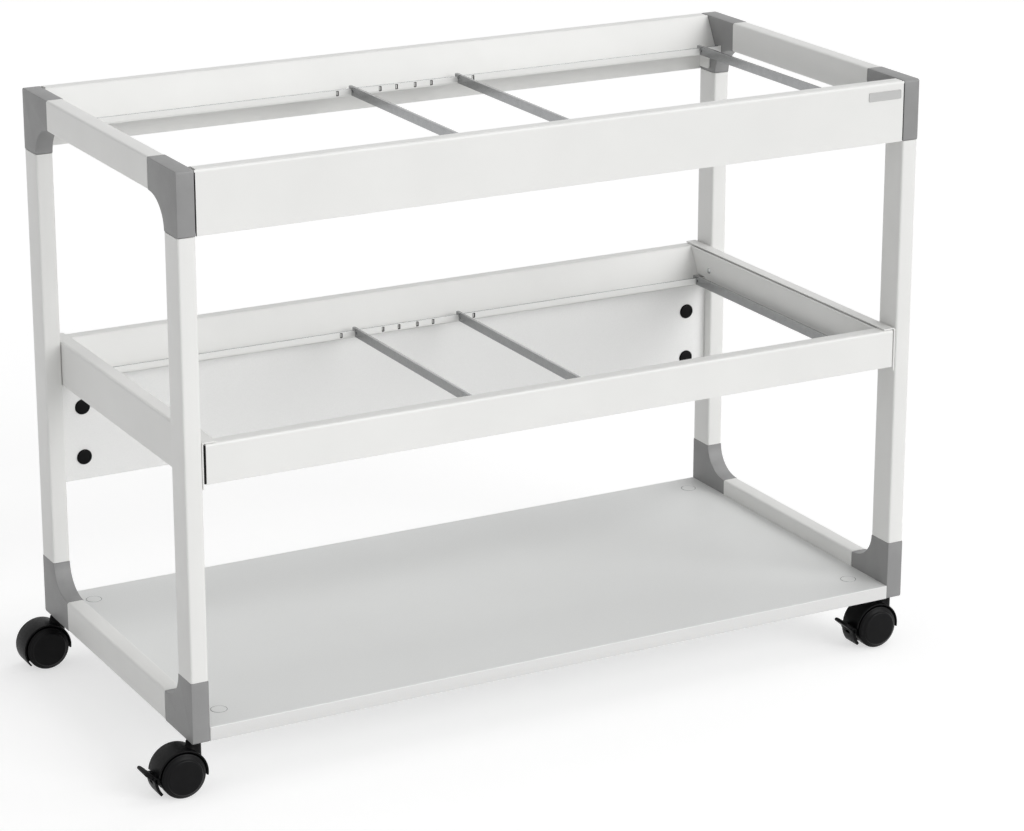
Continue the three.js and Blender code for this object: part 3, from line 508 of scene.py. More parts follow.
def moulded_grey(colours):
    """Mid grey moulding with a fine spark-eroded grain."""
    made = Finish("moulded_grey", colours.connector, roughness=0.48)
    made.tint(made.noise(40.0, detail=4.0), colours.connector, low=0.95, high=1.04)
    made.rough(made.noise(900.0), low=0.42, high=0.55)
    made.bump(made.noise(2600.0, detail=2.0), strength=0.18, distance=0.0001)
    return made.material


def board_facing(name, base):
    """Melamine facing: a very fine pearl grain and soft clouds of gloss."""
    made = Finish(name, base, roughness=0.5, sheen=0.25)
    made.tint(made.noise(700.0, detail=4.0, roughness=0.7), base, low=0.97, high=1.02)
    made.rough(made.noise(12.0, detail=3.0), low=0.44, high=0.54)
    made.bump(made.noise(1800.0, detail=2.0), strength=0.12, distance=0.00008)
    return made.material


def zinc(name, base):
    """Galvanised strip: small spangles that differ in tone and gloss, with rolling lines along the bar."""
    made = Finish(name, base, roughness=0.3, metallic=1.0)
    made.tint(made.cells(150.0), base, low=0.97, high=1.03)
    made.rough(made.cells(240.0), low=0.2, high=0.26)
    rolling = made.noise(300.0, place=made.stretched((6.0, 0.15, 6.0)))
    made.bump(rolling, strength=0.03, distance=0.00005)
    return made.material


def bright_steel(colours):
    """Bright turned steel."""
    made = Finish("bright_turned_steel", colours.steel, roughness=0.25, metallic=1.0)
    made.rough(made.noise(400.0), low=0.2, high=0.32)
    tooling = made.noise(900.0, place=made.stretched((0.2, 0.2, 6.0)))
    made.bump(tooling, strength=0.1, distance=0.00005)
    return made.material


def moulded_black(colours):
    """Black nylon moulding with a fine grain."""
    made = Finish("moulded_black", colours.black, roughness=0.42, sheen=0.1)
    made.tint(made.noise(90.0, detail=3.0), colours.black, low=0.85, high=1.2)
    made.rough(made.noise(500.0), low=0.36, high=0.5)
    made.bump(made.noise(2200.0, detail=2.0), strength=0.16, distance=0.0001)
    return made.material


def wheel_black(colours):
    """Black wheel nylon, smoother than the housing."""
    made = Finish("wheel_black", colours.wheel, roughness=0.34, sheen=0.12)
    made.tint(made.noise(120.0, detail=3.0), colours.wheel, low=0.85, high=1.2)
    made.rough(made.noise(260.0, detail=4.0), low=0.3, high=0.44)
    made.bump(made.noise(1500.0, detail=2.0), strength=0.1, distance=0.0001)
    return made.material


def satin_plate(colours):
    """Satin lacquered metal with lines brushed along its length."""
    made = Finish("satin_plate", colours.plate, roughness=0.36)
    brushed = made.stretched((0.05, 1.0, 3.0))
    made.tint(made.noise(500.0, place=brushed), colours.plate, low=0.96, high=1.03)
    made.rough(made.noise(800.0, place=brushed), low=0.3, high=0.44)
    scored = made.noise(1500.0, place=made.stretched((0.04, 1.0, 2.0)))
    made.bump(scored, strength=0.08, distance=0.00005)
    return made.material


# Operators


class TROLLEY_OT_tubes(bpy.types.Operator):
    """Legs and cross tubes: a hollow rounded rectangle carried along each tube."""

    bl_idname = "trolley.tubes"
    bl_label = "Legs and cross tubes"

    def execute(self, context):
        sizes = context.scene.trolley_sizes
        material = powder_coat(context.scene.trolley_colours)
        legs = [(f"{face}_{end}_leg", 2) for face, end in product(FACES, ENDS)]
        crossing = [(f"{level}_{end}_cross_tube", 1) for level, end in product(("upper", "lower"), ENDS)]
        for node, axis in legs + crossing:
            grid = hollow_bar(*box_of(node), axis, sizes.tube_corner, sizes.tube_wall)
            piece(f"{node}_tube", [shell(grid, ring=True)], material, "frame", [node])
        return {"FINISHED"}


class TROLLEY_OT_connectors(bpy.types.Operator):
    """Moulded corner connectors: an L with a concave elliptic fillet and rounded rims."""

    bl_idname = "trolley.connectors"
    bl_label = "Corner connectors"

    def execute(self, context):
        sizes = context.scene.trolley_sizes
        material = moulded_grey(context.scene.trolley_colours)
        outline = self.outline(sizes)
        for level, face, end in product(("upper", "lower"), FACES, ENDS):
            node = f"{level}_{face}_{end}_connector"
            low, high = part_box(node)
            y, inward = (low.y, 1.0) if face == "front" else (high.y, -1.0)
            z, down = (high.z, -1.0) if level == "upper" else (low.z, 1.0)
            axes = ((0, inward, 0), (0, 0, down), (1, 0, 0))
            origin = ((low.x + high.x) / 2, y, z)
            grid = rounded_slab(outline, high.x - low.x, sizes.connector_edge, origin, axes)
            piece(f"{node}_corner", [shell(grid)], material, "frame", [node])
        return {"FINISHED"}

    @staticmethod
    def outline(sizes):
        """Outline in (inward, down) from the outer corner: nose, arm ends with small radii, and the fillet,
        a quarter of an ellipse about (reach, drop)."""
        reach, drop, arm = sizes.connector_reach, sizes.connector_drop, sizes.connector_arm
        nose, small = sizes.connector_nose, sizes.connector_end
        parts = [
            arc((nose, nose), nose, nose, 180, 270, 8),
            arc((reach - small, small), small, small, 270, 360, 4),
            arc((reach - small, arm - small), small, small, 0, 90, 4),
            arc((reach - small, drop), reach - small - arm, drop - arm, 270, 180, 28)[1:-1],
            arc((arm - small, drop - small), small, small, 0, 90, 4),
            arc((small, drop - small), small, small, 90, 180, 4),
        ]
        return np.concatenate(parts)


class TROLLEY_OT_sheet_metal(bpy.types.Operator):
    """File rails, end covers and end walls keep their folds and get the powder coat, with pan-head screws,
    black strips of painted shade in their gaps, and painted shade along their upstands' upper edges and in
    their slots."""

    bl_idname = "trolley.sheet_metal"
    bl_label = "Rails, covers and end walls"

    def execute(self, context):
        sizes = context.scene.trolley_sizes
        colours = context.scene.trolley_colours
        rails = [f"{level}_{face}_file_rail" for level, face in product(("top", "middle"), FACES)]
        ends = [f"middle_{end}_{kind}" for end, kind in product(ENDS, ("end_cover", "end_wall"))]
        finish_nodes(rails + ends, powder_coat(colours))
        # The black moulding also serves the strips of painted shade
        black = moulded_black(colours)
        self.screws(sizes, bright_steel(colours))
        self.left_end_shade_strips(sizes, black)
        self.top_end_shade_lines(sizes, black)
        self.slit_shade_strips(sizes, black)
        self.upstand_shade_lines(sizes, zinc("highlight_and_shade_zinc", colours.highlight_and_shade_zinc))
        self.slot_painted_shade(sizes, black)
        return {"FINISHED"}

    @staticmethod
    def strip(name, spans, sizes, material):
        """A dark strip of painted shade that fills three spans: a rounded rectangle in (X, Z), as a slab
        with rounded rims.
        """
        low, high = np.array(spans).T
        size = high - low
        corner = min(sizes.strip_corner, STRIP_CORNER_SHARE * size[0])
        edge = min(sizes.strip_edge, STRIP_RIM_SHARE * min(size[:2]))
        outline = outline_of_rectangle(size[0], size[2], corner, steps=4)
        grid = rounded_slab(outline, size[1], edge, (low + high) / 2, STANDING)
        piece(name, [shell(grid)], material, "frame")

    def left_end_shade_strips(self, sizes, material):
        """Black strips of painted shade between the middle rails' left ends and the end cover, at the left
        ends only.
        """
        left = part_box("middle_left_end_cover")[0].x + sizes.sheet + sizes.strip_side
        for face, way in zip(FACES, INWARDS):
            rail = f"middle_{face}_file_rail"
            low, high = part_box(rail)
            near = outer_wall(rail, way) + way * sizes.left_shade_setback
            spans = [
                (left, low.x - sizes.strip_side),
                sorted((near, near + way * sizes.left_shade_depth)),
                (low.z + sizes.shade_strip_foot, high.z - sizes.left_shade_head),
            ]
            self.strip(f"middle_{face}_left_seal", spans, sizes, material)

    def top_end_shade_lines(self, sizes, material):
        """Dark strips of painted shade where the top rails meet their connectors, hardly proud of the rails'
        faces.
        """
        for face, way in zip(FACES, INWARDS):
            rail = f"top_{face}_file_rail"
            low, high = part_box(rail)
            wall = outer_wall(rail, way)
            for end, x, inward in zip(ENDS, (low.x, high.x), INWARDS):
                spans = [
                    sorted((x - 2 * inward * sizes.strip_side, x + inward * sizes.shade_line_width)),
                    sorted((wall - way * sizes.shade_line_proud, wall + way * sizes.shade_line_depth)),
                    (low.z + sizes.shade_strip_foot, high.z - sizes.shade_line_head),
                ]
                self.strip(f"top_{face}_{end}_seam", spans, sizes, material)

    def slit_shade_strips(self, sizes, material):
        """Dark strips of painted shade in the slits between the end walls and the covers' flanges."""
        for end in ENDS:
            cover_low, cover_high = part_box(f"middle_{end}_end_cover")
            wall_low, wall_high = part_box(f"middle_{end}_end_wall")
            slit = (cover_high.x, wall_low.x) if end == "left" else (wall_high.x, cover_low.x)
            top = wall_high.z - sizes.slit_shade_drop
            spans = [
                (slit[0] + sizes.strip_side, slit[1] - sizes.strip_side),
                (wall_low.y + sizes.slit_shade_inset, wall_high.y - sizes.slit_shade_inset),
                (top - sizes.slit_shade_depth, top),
            ]
            self.strip(f"middle_{end}_slit_liner", spans, sizes, material)

    @staticmethod
    def upstands(sizes):
        """Each rail's level and face, the middle of its upstand's upper edge, and its length."""
        for level in ("top", "middle"):
            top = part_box(f"{level}_left_middle_cross_bar")[1].z - sizes.bar_crown
            for face, way in zip(FACES, INWARDS):
                rail = f"{level}_{face}_file_rail"
                low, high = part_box(rail)
                y = outer_wall(rail, way) + way * sizes.upstand_inset
                yield f"{level}_{face}", np.array([(low.x + high.x) / 2, y, top]), high.x - low.x

    def upstand_shade_lines(self, sizes, material):
        """Grey lines of painted shade along the upper edges of the slotted upstands, from end to end of the
        rails.
        """
        width = sizes.sheet + 2 * sizes.light_line_side
        for rail, middle, length in self.upstands(sizes):
            top = middle + np.array([0.0, 0.0, sizes.upstand_rise])
            size = (length - 2 * sizes.upstand_end, width)
            painted_light_line(f"{rail}_upstand_painted_shade", top, size, sizes, material, "frame")

    def slot_painted_shade(self, sizes, material):
        """Dark painted shade in the spare slots: a hollow rounded rectangle through the upstand for each."""
        half = np.array([sizes.slot_width, sizes.sheet + 2 * sizes.light_line_side, sizes.slot_height]) / 2
        drop = sizes.slot_lip + sizes.slot_height / 2
        for rail, top, _ in self.upstands(sizes):
            shells = []
            for away, side in product(SPARE_SLOTS, SIDES):
                middle = top + np.array([side * away, 0.0, -drop])
                grid = hollow_bar(middle - half, middle + half, 1, sizes.slot_shade_corner, sizes.slot_shade_width)
                shells.append(shell(grid, ring=True))
            piece(f"{rail}_slot_painted_shade", shells, material, "frame")

    @staticmethod
    def screws(sizes, material):
        """Pan heads on the end walls' inner faces: a quarter ellipse turned about X, with its shank."""
        shank, depth, tip = sizes.shank_radius, sizes.shank_depth, sizes.shank_tip
        head = arc((0.0, 0.0), sizes.screw_radius, sizes.screw_height, 88, 0, 10)
        profile = np.concatenate([head, [[shank, 0.0], [shank, -depth], [tip, -depth]]])
        reach = abs(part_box("front_left_leg")[0].y) - sizes.screw_inset
        for end, way in zip(ENDS, INWARDS):
            low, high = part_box(f"middle_{end}_end_wall")
            x = (high.x if end == "left" else low.x) + way * sizes.screw_gap
            for face, side in zip(FACES, SIDES):
                origin = (x, side * reach, high.z - sizes.screw_drop)
                grid = turned(profile, origin, (way, 0, 0), (0, 0, 1), steps=40)
                piece(f"{end}_end_wall_{face}_screw", [shell(grid)], material, "frame")


class TROLLEY_OT_bars(bpy.types.Operator):
    """Cross bars get their galvanised finish and a line of painted highlight along their upper edge."""

    bl_idname = "trolley.bars"
    bl_label = "Cross bars"

    def execute(self, context):
        sizes = context.scene.trolley_sizes
        colours = context.scene.trolley_colours
        bars = [name for name in NODES if name.endswith("_cross_bar")]
        finish_nodes(bars, zinc("zinc", colours.galvanised))
        # Painted highlight along each bar's upper edge
        bright = zinc("highlight_and_shade_zinc", colours.highlight_and_shade_zinc)
        for bar in bars:
            low, high = box_of(bar)
            middle = (low + high) / 2
            top = (middle[0], middle[1], high[2] + sizes.highlight_rise)
            size = (high[0] - low[0] + 2 * sizes.light_line_side, high[1] - low[1] - 2 * sizes.highlight_inset)
            body = bar.replace("_cross_bar", "_bar")
            painted_light_line(f"{bar}_upper_painted_highlight", top, size, sizes, bright, body)
        return {"FINISHED"}


class TROLLEY_OT_boards(bpy.types.Operator):
    """Shelf and rear board get their facing, the rear board's lighter as painted light, edge bands, flush
    fitting covers in rings of painted shade, and domed black caps.
    """

    bl_idname = "trolley.boards"
    bl_label = "Boards, covers and caps"

    def execute(self, context):
        sizes = context.scene.trolley_sizes
        colours = context.scene.trolley_colours
        facing = board_facing("shelf_facing", colours.laminate)
        finish_nodes(["bottom_shelf"], facing)
        # Painted light: the rear board's facing is a lighter copy of the shelf's
        finish_nodes(["rear_board"], board_facing("rear_board_lit_facing", colours.laminate_painted_lighter))
        self.edge_bands(sizes, board_facing("edge_band", colours.edge_band))
        # Painted shade: the darker ring round each flush cover
        self.fitting_covers(sizes, facing, board_facing("cover_gap_shade", colours.gap_shade))
        self.caps(sizes, moulded_black(colours))
        return {"FINISHED"}

    @staticmethod
    def edge_bands(sizes, material):
        """Bands on the shelf's long edges: a rounded rectangle in (X, Z), as a slab with rounded rims."""
        low, high = box_of("bottom_shelf")
        length = high[0] - low[0] - 2 * sizes.band_round
        outline = outline_of_rectangle(length, sizes.band_height, sizes.band_round)
        for face, edge, way in zip(FACES, (low[1], high[1]), INWARDS):
            origin = (low + high) / 2
            origin[1] = edge + way * (sizes.band_thickness / 2 - sizes.band_proud)
            grid = rounded_slab(outline, sizes.band_thickness, sizes.band_proud, origin, STANDING)
            piece(f"shelf_{face}_edge_band", [shell(grid)], material, "frame")

    @staticmethod
    def fitting_covers(sizes, material, gap_shade):
        """Flush covers: a disc turned about Z, with a rounded rim and a faintly dished middle, in a darker
        ring of painted shade.
        The shares are those of the cover's radius and rise."""
        pole, dish_end, rim_start, dip, gap_shade_height = 0.03, 0.86, 0.9, 0.14, 0.25
        low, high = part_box("bottom_shelf")
        radius, rise = sizes.cover_radius, sizes.cover_rise
        dish = np.linspace(pole, dish_end, 8)
        top = np.stack([dish, 1.0 - dip * (1.0 - dish ** 2)], axis=1)
        rim = arc((rim_start, 0.0), 1.0 - rim_start, 1.0, 80, 0, 6)
        profile = np.concatenate([top, rim, [[pole, 0.0]]]) * np.array([radius, rise])
        far, lip = radius + sizes.cover_gap_shade, gap_shade_height * rise
        around = [[radius, 0.0], [far, 0.0], [far, lip], [radius, lip]]
        rows = zip(FACES, (low.y + sizes.cover_front, high.y - sizes.cover_back))
        columns = zip(ENDS, (low.x + sizes.cover_inset, high.x - sizes.cover_inset))
        for (face, y), (end, x) in product(rows, columns):
            name = f"shelf_{face}_{end}_cover"
            disc = turned(profile, (x, y, high.z), (0, 0, 1), (1, 0, 0), DISC_STEPS)
            piece(name, [shell(disc)], material, "frame")
            ring = turned(around, (x, y, high.z), (0, 0, 1), (1, 0, 0), DISC_STEPS)
            piece(f"{name}_joint", [shell(ring, ring=True)], gap_shade, "frame")

    @staticmethod
    def caps(sizes, material):
        """Cover caps: a shallow dome with a rolled rim, and its plug, turned about the board's normal.
        The shares are those of the cap's radius and dome."""
        pole, dome_end, rim_start, fall, rim_height, plug = 0.02, 0.84, 0.86, 0.32, 0.74, 0.77
        dome = sizes.cap_dome
        share = np.linspace(pole, dome_end, 10)
        top = np.stack([share, 1.0 - fall * share ** 2], axis=1)
        rim = arc((rim_start, 0.0), 1.0 - rim_start, rim_height, 78, 0, 8)
        for end, level in product(ENDS, ("lower", "upper")):
            node = f"rear_board_{end}_{level}_cap"
            low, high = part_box(node)
            foot = (low.y + dome - high.y) / dome
            tail = [[plug, 0.0], [plug, foot], [pole, foot]]
            profile = np.concatenate([top, rim, tail]) * np.array([(high.x - low.x) / 2, dome])
            origin = ((low.x + high.x) / 2, low.y + dome, (low.z + high.z) / 2)
            grid = turned(profile, origin, (0, -1, 0), (1, 0, 0), DISC_STEPS)
            piece(f"{node}_dome", [shell(grid)], material, "frame", [node])


class TROLLEY_OT_castors(bpy.types.Operator):
    """Twin-wheel castors: housings, wheels and brake levers with ribbed pedals."""

    bl_idname = "trolley.castors"
    bl_label = "Castors"

    def execute(self, context):
        sizes = context.scene.trolley_sizes
        colours = context.scene.trolley_colours
        black, rolling, steel = moulded_black(colours), wheel_black(colours), bright_steel(colours)
        for castor in CASTORS:
            finish_nodes([f"{castor}_stem", f"{castor}_axle"], steel)
            braked = castor.startswith("front")
            shells = self.housing(castor, sizes, braked)
            piece(f"{castor}_hood", shells, black, castor, [f"{castor}_housing"])
            for face, way in zip(FACES, SIDES):
                node = f"{castor}_{face}_wheel"
                grid = self.wheel(node, way, sizes)
                piece(f"{node}_turning", [shell(grid)], rolling, node, [node])
            if braked:
                lever = f"{castor}_brake_lever"
                piece(f"{lever}_pedal", self.lever(castor, sizes), black, lever, [lever])
        return {"FINISHED"}

    @staticmethod
    def wheel(node, way, sizes):
        """A wheel turned about Y, in shares of its radius and width: crowned disc s = 1 - k r^2, an
        elliptic shoulder, a groove, the tread and the bore."""
        pole, disc_end, crown = 0.01, 0.72, 0.05
        shoulder_low, shoulder_high, shoulder_width = 0.81, 0.974, 0.1
        bore_depth = 0.8
        low, high = box_of(node)
        radius, width = (high[2] - low[2]) / 2, high[1] - low[1]
        share = np.linspace(pole, disc_end, 14)
        disc = np.stack([share, 1.0 - crown * share ** 2], axis=1)
        shoulder = arc((disc_end, shoulder_low), shoulder_width, shoulder_high - shoulder_low, 86, 18, 10)
        bore = sizes.axle_bore / radius
        hole = [[bore, 0.0], [bore, bore_depth], [pole, bore_depth]]
        shares = np.concatenate([disc, shoulder, WHEEL_GROOVE, WHEEL_TREAD, hole])
        origin = (low + high) / 2
        origin[1] = high[1] if way < 0 else low[1]
        return turned(shares * np.array([radius, width]), origin, (0, way, 0), (1, 0, 0))

    @staticmethod
    def axis_of(castor):
        """The middle of a castor's axle, and the radius of its treads."""
        low, high = box_of(f"{castor}_axle")
        wheel_low, wheel_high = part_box(f"{castor}_front_wheel")
        return (low + high) / 2, (wheel_high.z - wheel_low.z) / 2

    @staticmethod
    def pivot_of(axis, tread, sizes):
        """The pin of a brake lever, at its angle about the wheel axis."""
        reach = tread + sizes.knuckle_gap + sizes.knuckle_radius
        angle = math.radians(LEVER_PIVOT)
        return axis + reach * np.array([math.cos(angle), 0.0, math.sin(angle)])

    def housing(self, castor, sizes, braked):
        """Hood, web, hub and neck of one castor, and the lug of its brake. The hub's wall is as thick as
        the radius of its bore."""
        axis, tread = self.axis_of(castor)
        stem_low, stem_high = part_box(f"{castor}_stem")
        box_low, box_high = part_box(f"{castor}_housing")
        bore = sizes.axle_bore
        roof = tread + sizes.hood_gap + sizes.hood_wall / 2
        hood_end, web_end = (BRAKE_HOOD_END, BRAKE_WEB_END) if braked else (HOOD_END, HOOD_END)
        hood_span = np.radians(np.linspace(HOOD_START, hood_end, HOOD_STEPS))
        web_span = np.radians(np.linspace(HOOD_START, web_end, HOOD_STEPS))
        whole = np.linspace(0.0, 2 * math.pi, HUB_STEPS, endpoint=False)
        hood = outline_of_rectangle(box_high.y - box_low.y, sizes.hood_wall, sizes.hood_edge, steps=4)
        web = outline_of_rectangle(sizes.web, roof - bore, sizes.web_edge, steps=2)
        hub = outline_of_rectangle(sizes.web, bore, sizes.web_edge, steps=2)
        shells = [
            shell(self.bent(hood, roof, hood_span, axis)),
            shell(self.bent(web, (bore + roof) / 2, web_span, axis)),
            shell(self.bent(hub, bore + bore / 2, whole, axis), ring=True),
            shell(self.neck((stem_low + stem_high) / 2, axis, roof, box_high.z, sizes)),
        ]
        if braked:
            shells.append(shell(self.lug(self.pivot_of(axis, tread, sizes), sizes)))
        return shells

    @staticmethod
    def bent(section, radius, span, axis):
        """A section (across, radial) carried round the wheel axis: axis + (R + radial)(cos t, 0, sin t)."""
        across = section[:, 0][:, None]
        reach = radius + section[:, 1][:, None]
        x = axis[0] + reach * np.cos(span)[None, :]
        z = axis[2] + reach * np.sin(span)[None, :]
        y = np.broadcast_to(axis[1] + across, x.shape)
        return np.stack([x, y, z], axis=-1)

    @staticmethod
    def neck(stem, axis, seat, top, sizes):
        """A stadium whose foot follows the hood, z = z0 + sqrt(R^2 - (x - x0)^2), and spreads as
        exp(-h / flare). Its top is rounded and bored for the stem."""
        half = np.linspace(-math.pi / 2, math.pi / 2, NECK_STEPS)
        spokes = np.concatenate([half, half + math.pi])
        shift = np.repeat([0.0, -sizes.neck_fairing], NECK_STEPS)
        lip = np.zeros(len(NECK_ROWS))
        lip[-1] = sizes.neck_lip
        flare = sizes.neck_flare
        foot_x = stem.x + shift + (sizes.neck_radius + flare) * np.cos(spokes)
        reach = np.clip(seat ** 2 - (foot_x - axis[0]) ** 2, 0.0, None)
        foot = axis[2] + np.sqrt(reach)
        height = (top - foot)[:, None] * np.array(NECK_ROWS)[None, :]
        radius = sizes.neck_radius + flare * np.exp(-height / (FLARE_LENGTH * flare)) - lip[None, :]
        x = stem.x + shift[:, None] + radius * np.cos(spokes)[:, None]
        y = stem.y + radius * np.sin(spokes)[:, None]
        outside = np.stack([x, y, foot[:, None] + height], axis=-1)
        bore_x = stem.x + sizes.stem_bore * np.cos(spokes)
        bore_y = stem.y + sizes.stem_bore * np.sin(spokes)
        mouth = np.stack([bore_x, bore_y, np.full(len(spokes), top)], axis=-1)
        floor = mouth - np.array([0.0, 0.0, sizes.stem_seat])
        return np.concatenate([outside, mouth[:, None, :], floor[:, None, :]], axis=1)

    @staticmethod
    def lug(pivot, sizes):
        """The lug at the web's end and its pin, turned about Y."""
        half, reach = sizes.web / 2, sizes.pin_reach
        pin, thick = sizes.pin_radius, sizes.lug_radius
        end = [[TURNED_TIP, reach], [pin, reach], [pin, half], [thick, half]]
        profile = end + [[radius, -height] for radius, height in end[::-1]]
        return turned(profile, pivot, (0, 1, 0), (1, 0, 0), steps=32)

    def lever(self, castor, sizes):
        """A brake lever: a shoe bent about the wheel axis, knuckles turned about the pin and a pedal, with a
        fork that clears the lug."""
        axis, tread = self.axis_of(castor)
        pivot = self.pivot_of(axis, tread, sizes)
        low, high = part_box(f"{castor}_brake_lever")
        half, edge, thickness = (high.y - low.y) / 2, sizes.lever_edge, sizes.shoe_thickness
        fork = sizes.web / 2 + sizes.fork_gap
        prong = half - fork
        radius = tread + sizes.shoe_gap + thickness / 2
        clear = sizes.lug_radius + sizes.lug_relief
        meet = LEVER_PIVOT + math.degrees(clear / radius)
        shoe = outline_of_rectangle(2 * half, thickness, edge, steps=4)
        shoe_span = np.radians(np.linspace(meet, SHOE_END, 24))
        arm_span = np.radians(np.linspace(LEVER_PIVOT, meet + ARM_OVERLAP, 10))
        shells = [shell(self.bent(shoe, radius, shoe_span, axis))]
        shells.append(shell(self.pedal(pivot, clear, 2 * half, 0.0, True, sizes)))
        for side in SIDES:
            middle = side * (fork + prong / 2)
            arm = outline_of_rectangle(prong, thickness, edge, steps=4) + np.array([middle, 0.0])
            shells.append(shell(self.bent(arm, radius, arm_span, axis)))
            shells.append(shell(self.pedal(pivot, 0.0, prong, middle, False, sizes)))
            shells.append(shell(self.knuckle(pivot, side, fork, half, sizes)))
        return shells + self.pedal_ribs(pivot, half, sizes)

    @staticmethod
    def knuckle(pivot, side, fork, half, sizes):
        """One prong of the knuckle, bored for the pin: a profile of radius and distance turned about Y."""
        outer, edge = sizes.knuckle_radius, sizes.lever_edge
        bore, deep = sizes.pin_radius + sizes.pin_gap, sizes.pin_reach + sizes.pin_gap
        rim = arc((outer - edge, half - edge), edge, edge, 90, 0, 5)
        inside = [[outer, fork], [bore, fork], [bore, deep], [TURNED_TIP, deep]]
        profile = np.concatenate([[[TURNED_TIP, half]], rim, inside])
        return turned(profile, pivot, (0, side, 0), (1, 0, 0), steps=40)

    @staticmethod
    def slope_of(sizes):
        """Unit vectors along the pedal and out of its upper face, and the distance from pin to tip."""
        tip = np.array([-sizes.pedal_reach, 0.0, sizes.pedal_rise])
        length = np.linalg.norm(tip)
        along = tip / length
        return along, np.array([along[2], 0.0, -along[0]]), length

    def pedal(self, pivot, start, width, middle, tipped, sizes):
        """A bar along the pedal's slope: a strip with a round tip, or a short prong, with rounded rims."""
        along, facing, length = self.slope_of(sizes)
        half = sizes.pedal_thickness / 2
        prong = sizes.lug_radius + sizes.lug_relief + half
        round_tip = arc((length, 0.0), half, half, -90, 90, 14)
        far = round_tip if tipped else np.array([[prong, -half], [prong, half]])
        outline = np.concatenate([[[start, -half]], far, [[start, half]]])
        origin = pivot + np.array([0.0, middle, 0.0])
        return rounded_slab(outline, width, sizes.lever_edge, origin, (along, facing, (0, 1, 0)))

    def pedal_ribs(self, pivot, half, sizes):
        """Grip ribs across the pedal near its tip: rounds r (cos t along + sin t facing), carried along
        Y and thinner at their ends."""
        along, facing, length = self.slope_of(sizes)
        surface = pivot + facing * sizes.pedal_thickness / 2
        angle = np.linspace(0.0, 2 * math.pi, RIB_STEPS, endpoint=False)
        section = (np.cos(angle)[:, None] * along + np.sin(angle)[:, None] * facing) * sizes.rib_radius
        across, girth = np.array(RIB_ROWS).T
        rib = section[:, None, :] * girth[None, :, None]
        rib[..., 1] += across * (half - sizes.rib_inset)
        places = [surface + along * (length - sizes.rib_pitch * step) for step in range(RIB_COUNT)]
        return [shell(rib + place) for place in places]


class TROLLEY_OT_plate(bpy.types.Operator):
    """The small bare plate near the end of the top front rail: rounded rectangles, inset by rows,
    at y = face - share thickness, so that its rim stands up."""

    bl_idname = "trolley.plate"
    bl_label = "Bare plate"

    def execute(self, context):
        sizes = context.scene.trolley_sizes
        material = satin_plate(context.scene.trolley_colours)
        low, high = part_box("top_front_file_rail")
        x = high.x - sizes.plate_from_end - sizes.plate_length / 2
        z = high.z - sizes.plate_from_top - sizes.plate_height / 2
        full = np.array([sizes.plate_length, sizes.plate_height])
        rows = []
        for inset, rise in PLATE_RIM:
            outline = outline_of_rectangle(*(full - 2 * inset * MM), sizes.plate_corner - inset * MM)
            y = np.full(len(outline), low.y - rise * sizes.plate_thickness)
            rows.append(np.stack([x + outline[:, 0], y, z + outline[:, 1]], axis=-1))
        shells = [shell(np.stack(rows, axis=1))]
        piece("top_front_rail_plate", shells, material, "frame", sharp=25.0)
        return {"FINISHED"}


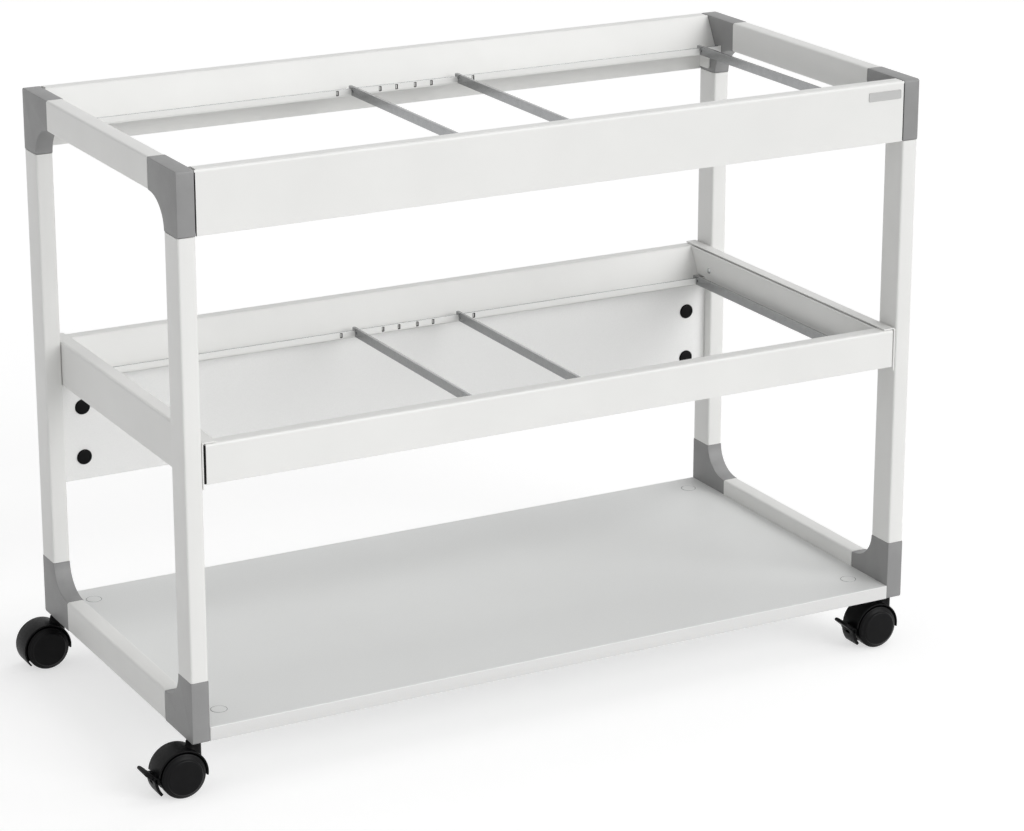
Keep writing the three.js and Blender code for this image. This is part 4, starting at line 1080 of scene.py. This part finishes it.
class TROLLEY_OT_stage(bpy.types.Operator):
    """White floor, soft lamps, even world light and the camera."""

    bl_idname = "trolley.stage"
    bl_label = "Studio"

    def execute(self, context):
        scene = context.scene
        scene.view_settings.view_transform = "Standard"
        self.floor(scene)
        self.world(scene)
        self.lamp(scene, "key", *KEY_LAMP)
        self.lamp(scene, "top", *TOP_LAMP)
        self.lamp(scene, "fill", *FILL_LAMP)
        self.camera(scene)
        return {"FINISHED"}

    def floor(self, scene):
        """A flat square; it shows white to the camera and to mirrors, and keeps the shadows."""
        side = np.array([-FLOOR_REACH, FLOOR_REACH])
        x, y = np.meshgrid(side, side, indexing="ij")
        corners = np.stack([x.ravel(), y.ravel(), np.zeros(4)], axis=1)
        mesh = bpy.data.meshes.new("floor")
        mesh.from_pydata(corners.tolist(), [], [[0, 2, 3, 1]])
        material = bpy.data.materials.new("studio_floor")
        material.use_nodes = True
        tree = material.node_tree
        tree.nodes.clear()
        lit = add_node(tree, "BsdfDiffuse", {"Color": (*scene.trolley_colours.floor, 1.0)})
        white = add_node(tree, "Emission", {"Strength": FLOOR_WHITE})
        self.show_white(tree, lit, white, FLOOR_WHITE_SHARE, "OutputMaterial")
        mesh.materials.append(material)
        made = bpy.data.objects.new("floor", mesh)
        scene.collection.objects.link(made)

    def world(self, scene):
        """Even light from all round, and white where the camera or a mirror looks past the object."""
        world = bpy.data.worlds.new("studio")
        world.use_nodes = True
        tree = world.node_tree
        tree.nodes.clear()
        lit = add_node(tree, "Background", {"Color": WHITE, "Strength": SURROUND})
        white = add_node(tree, "Background", {"Color": WHITE})
        self.show_white(tree, lit, white, 1.0, "OutputWorld")
        scene.world = world

    @staticmethod
    def show_white(tree, lit, white, share, output):
        """Mixes a share of white in for camera, glossy and transmission rays, and none for the light that
        reaches surfaces."""
        path = add_node(tree, "LightPath")
        value = path.outputs["Is Camera Ray"]
        for ray in ("Is Glossy Ray", "Is Transmission Ray"):
            most = add_node(tree, "Math", links={0: value, 1: path.outputs[ray]})
            most.operation = "MAXIMUM"
            value = most.outputs["Value"]
        scaled = add_node(tree, "Math", {1: share}, {0: value})
        scaled.operation = "MULTIPLY"
        sources = {"Fac": scaled.outputs["Value"], 1: lit.outputs[0], 2: white.outputs[0]}
        mix = add_node(tree, "MixShader", links=sources)
        add_node(tree, output, links={"Surface": mix.outputs["Shader"]})

    @staticmethod
    def lamp(scene, name, towards, spread, strength):
        """A wide, distant soft lamp that shines from a direction, spread over an angle in degrees."""
        data = bpy.data.lights.new(f"{name}_lamp", "SUN")
        data.angle = math.radians(spread)
        data.energy = strength
        made = bpy.data.objects.new(f"{name}_lamp", data)
        scene.collection.objects.link(made)
        made.rotation_euler = Vector(towards).to_track_quat("Z", "Y").to_euler()

    @staticmethod
    def camera(scene):
        """A long lens from the front left, a little above the trolley."""
        data = bpy.data.cameras.new("view")
        data.sensor_width = CAMERA_SENSOR
        data.lens = CAMERA_LENS
        data.shift_y = CAMERA_SHIFT
        data.clip_end = CAMERA_FAR
        made = bpy.data.objects.new("view", data)
        scene.collection.objects.link(made)
        made.location = CAMERA_PLACE
        made.rotation_euler = (math.radians(90.0 - CAMERA_DOWN), 0.0, math.radians(-CAMERA_ACROSS))
        scene.camera = made


STEPS = (
    TROLLEY_OT_tubes,
    TROLLEY_OT_connectors,
    TROLLEY_OT_sheet_metal,
    TROLLEY_OT_bars,
    TROLLEY_OT_boards,
    TROLLEY_OT_castors,
    TROLLEY_OT_plate,
    TROLLEY_OT_stage,
)


class TROLLEY_PT_sidebar(bpy.types.Panel):
    """Lists the trolley's steps, sizes and colours."""

    bl_idname = "TROLLEY_PT_sidebar"
    bl_label = "Suspension-file trolley"
    bl_space_type = "VIEW_3D"
    bl_region_type = "UI"
    bl_category = "Trolley"

    def draw(self, context):
        for step in STEPS:
            self.layout.operator(step.bl_idname)
        for group in (context.scene.trolley_sizes, context.scene.trolley_colours):
            column = self.layout.column()
            for name in group.bl_rna.properties.keys():
                if name not in ("rna_type", "name"):
                    column.prop(group, name)


CLASSES = (TrolleySizes, TrolleyColours, *STEPS, TROLLEY_PT_sidebar)


def register():
    """Registers the classes and puts the sizes and colours on the scene."""
    for kind in CLASSES:
        bpy.utils.register_class(kind)
    bpy.types.Scene.trolley_sizes = bpy.props.PointerProperty(type=TrolleySizes)
    bpy.types.Scene.trolley_colours = bpy.props.PointerProperty(type=TrolleyColours)


def unregister():
    """Takes the sizes, the colours and the classes away again."""
    del bpy.types.Scene.trolley_colours
    del bpy.types.Scene.trolley_sizes
    for kind in reversed(CLASSES):
        bpy.utils.unregister_class(kind)


def main():
    """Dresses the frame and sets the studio."""
    register()
    bpy.ops.trolley.tubes()
    bpy.ops.trolley.connectors()
    bpy.ops.trolley.sheet_metal()
    bpy.ops.trolley.bars()
    bpy.ops.trolley.boards()
    bpy.ops.trolley.castors()
    bpy.ops.trolley.plate()
    bpy.ops.trolley.stage()


if __name__ == "__main__":
    main()
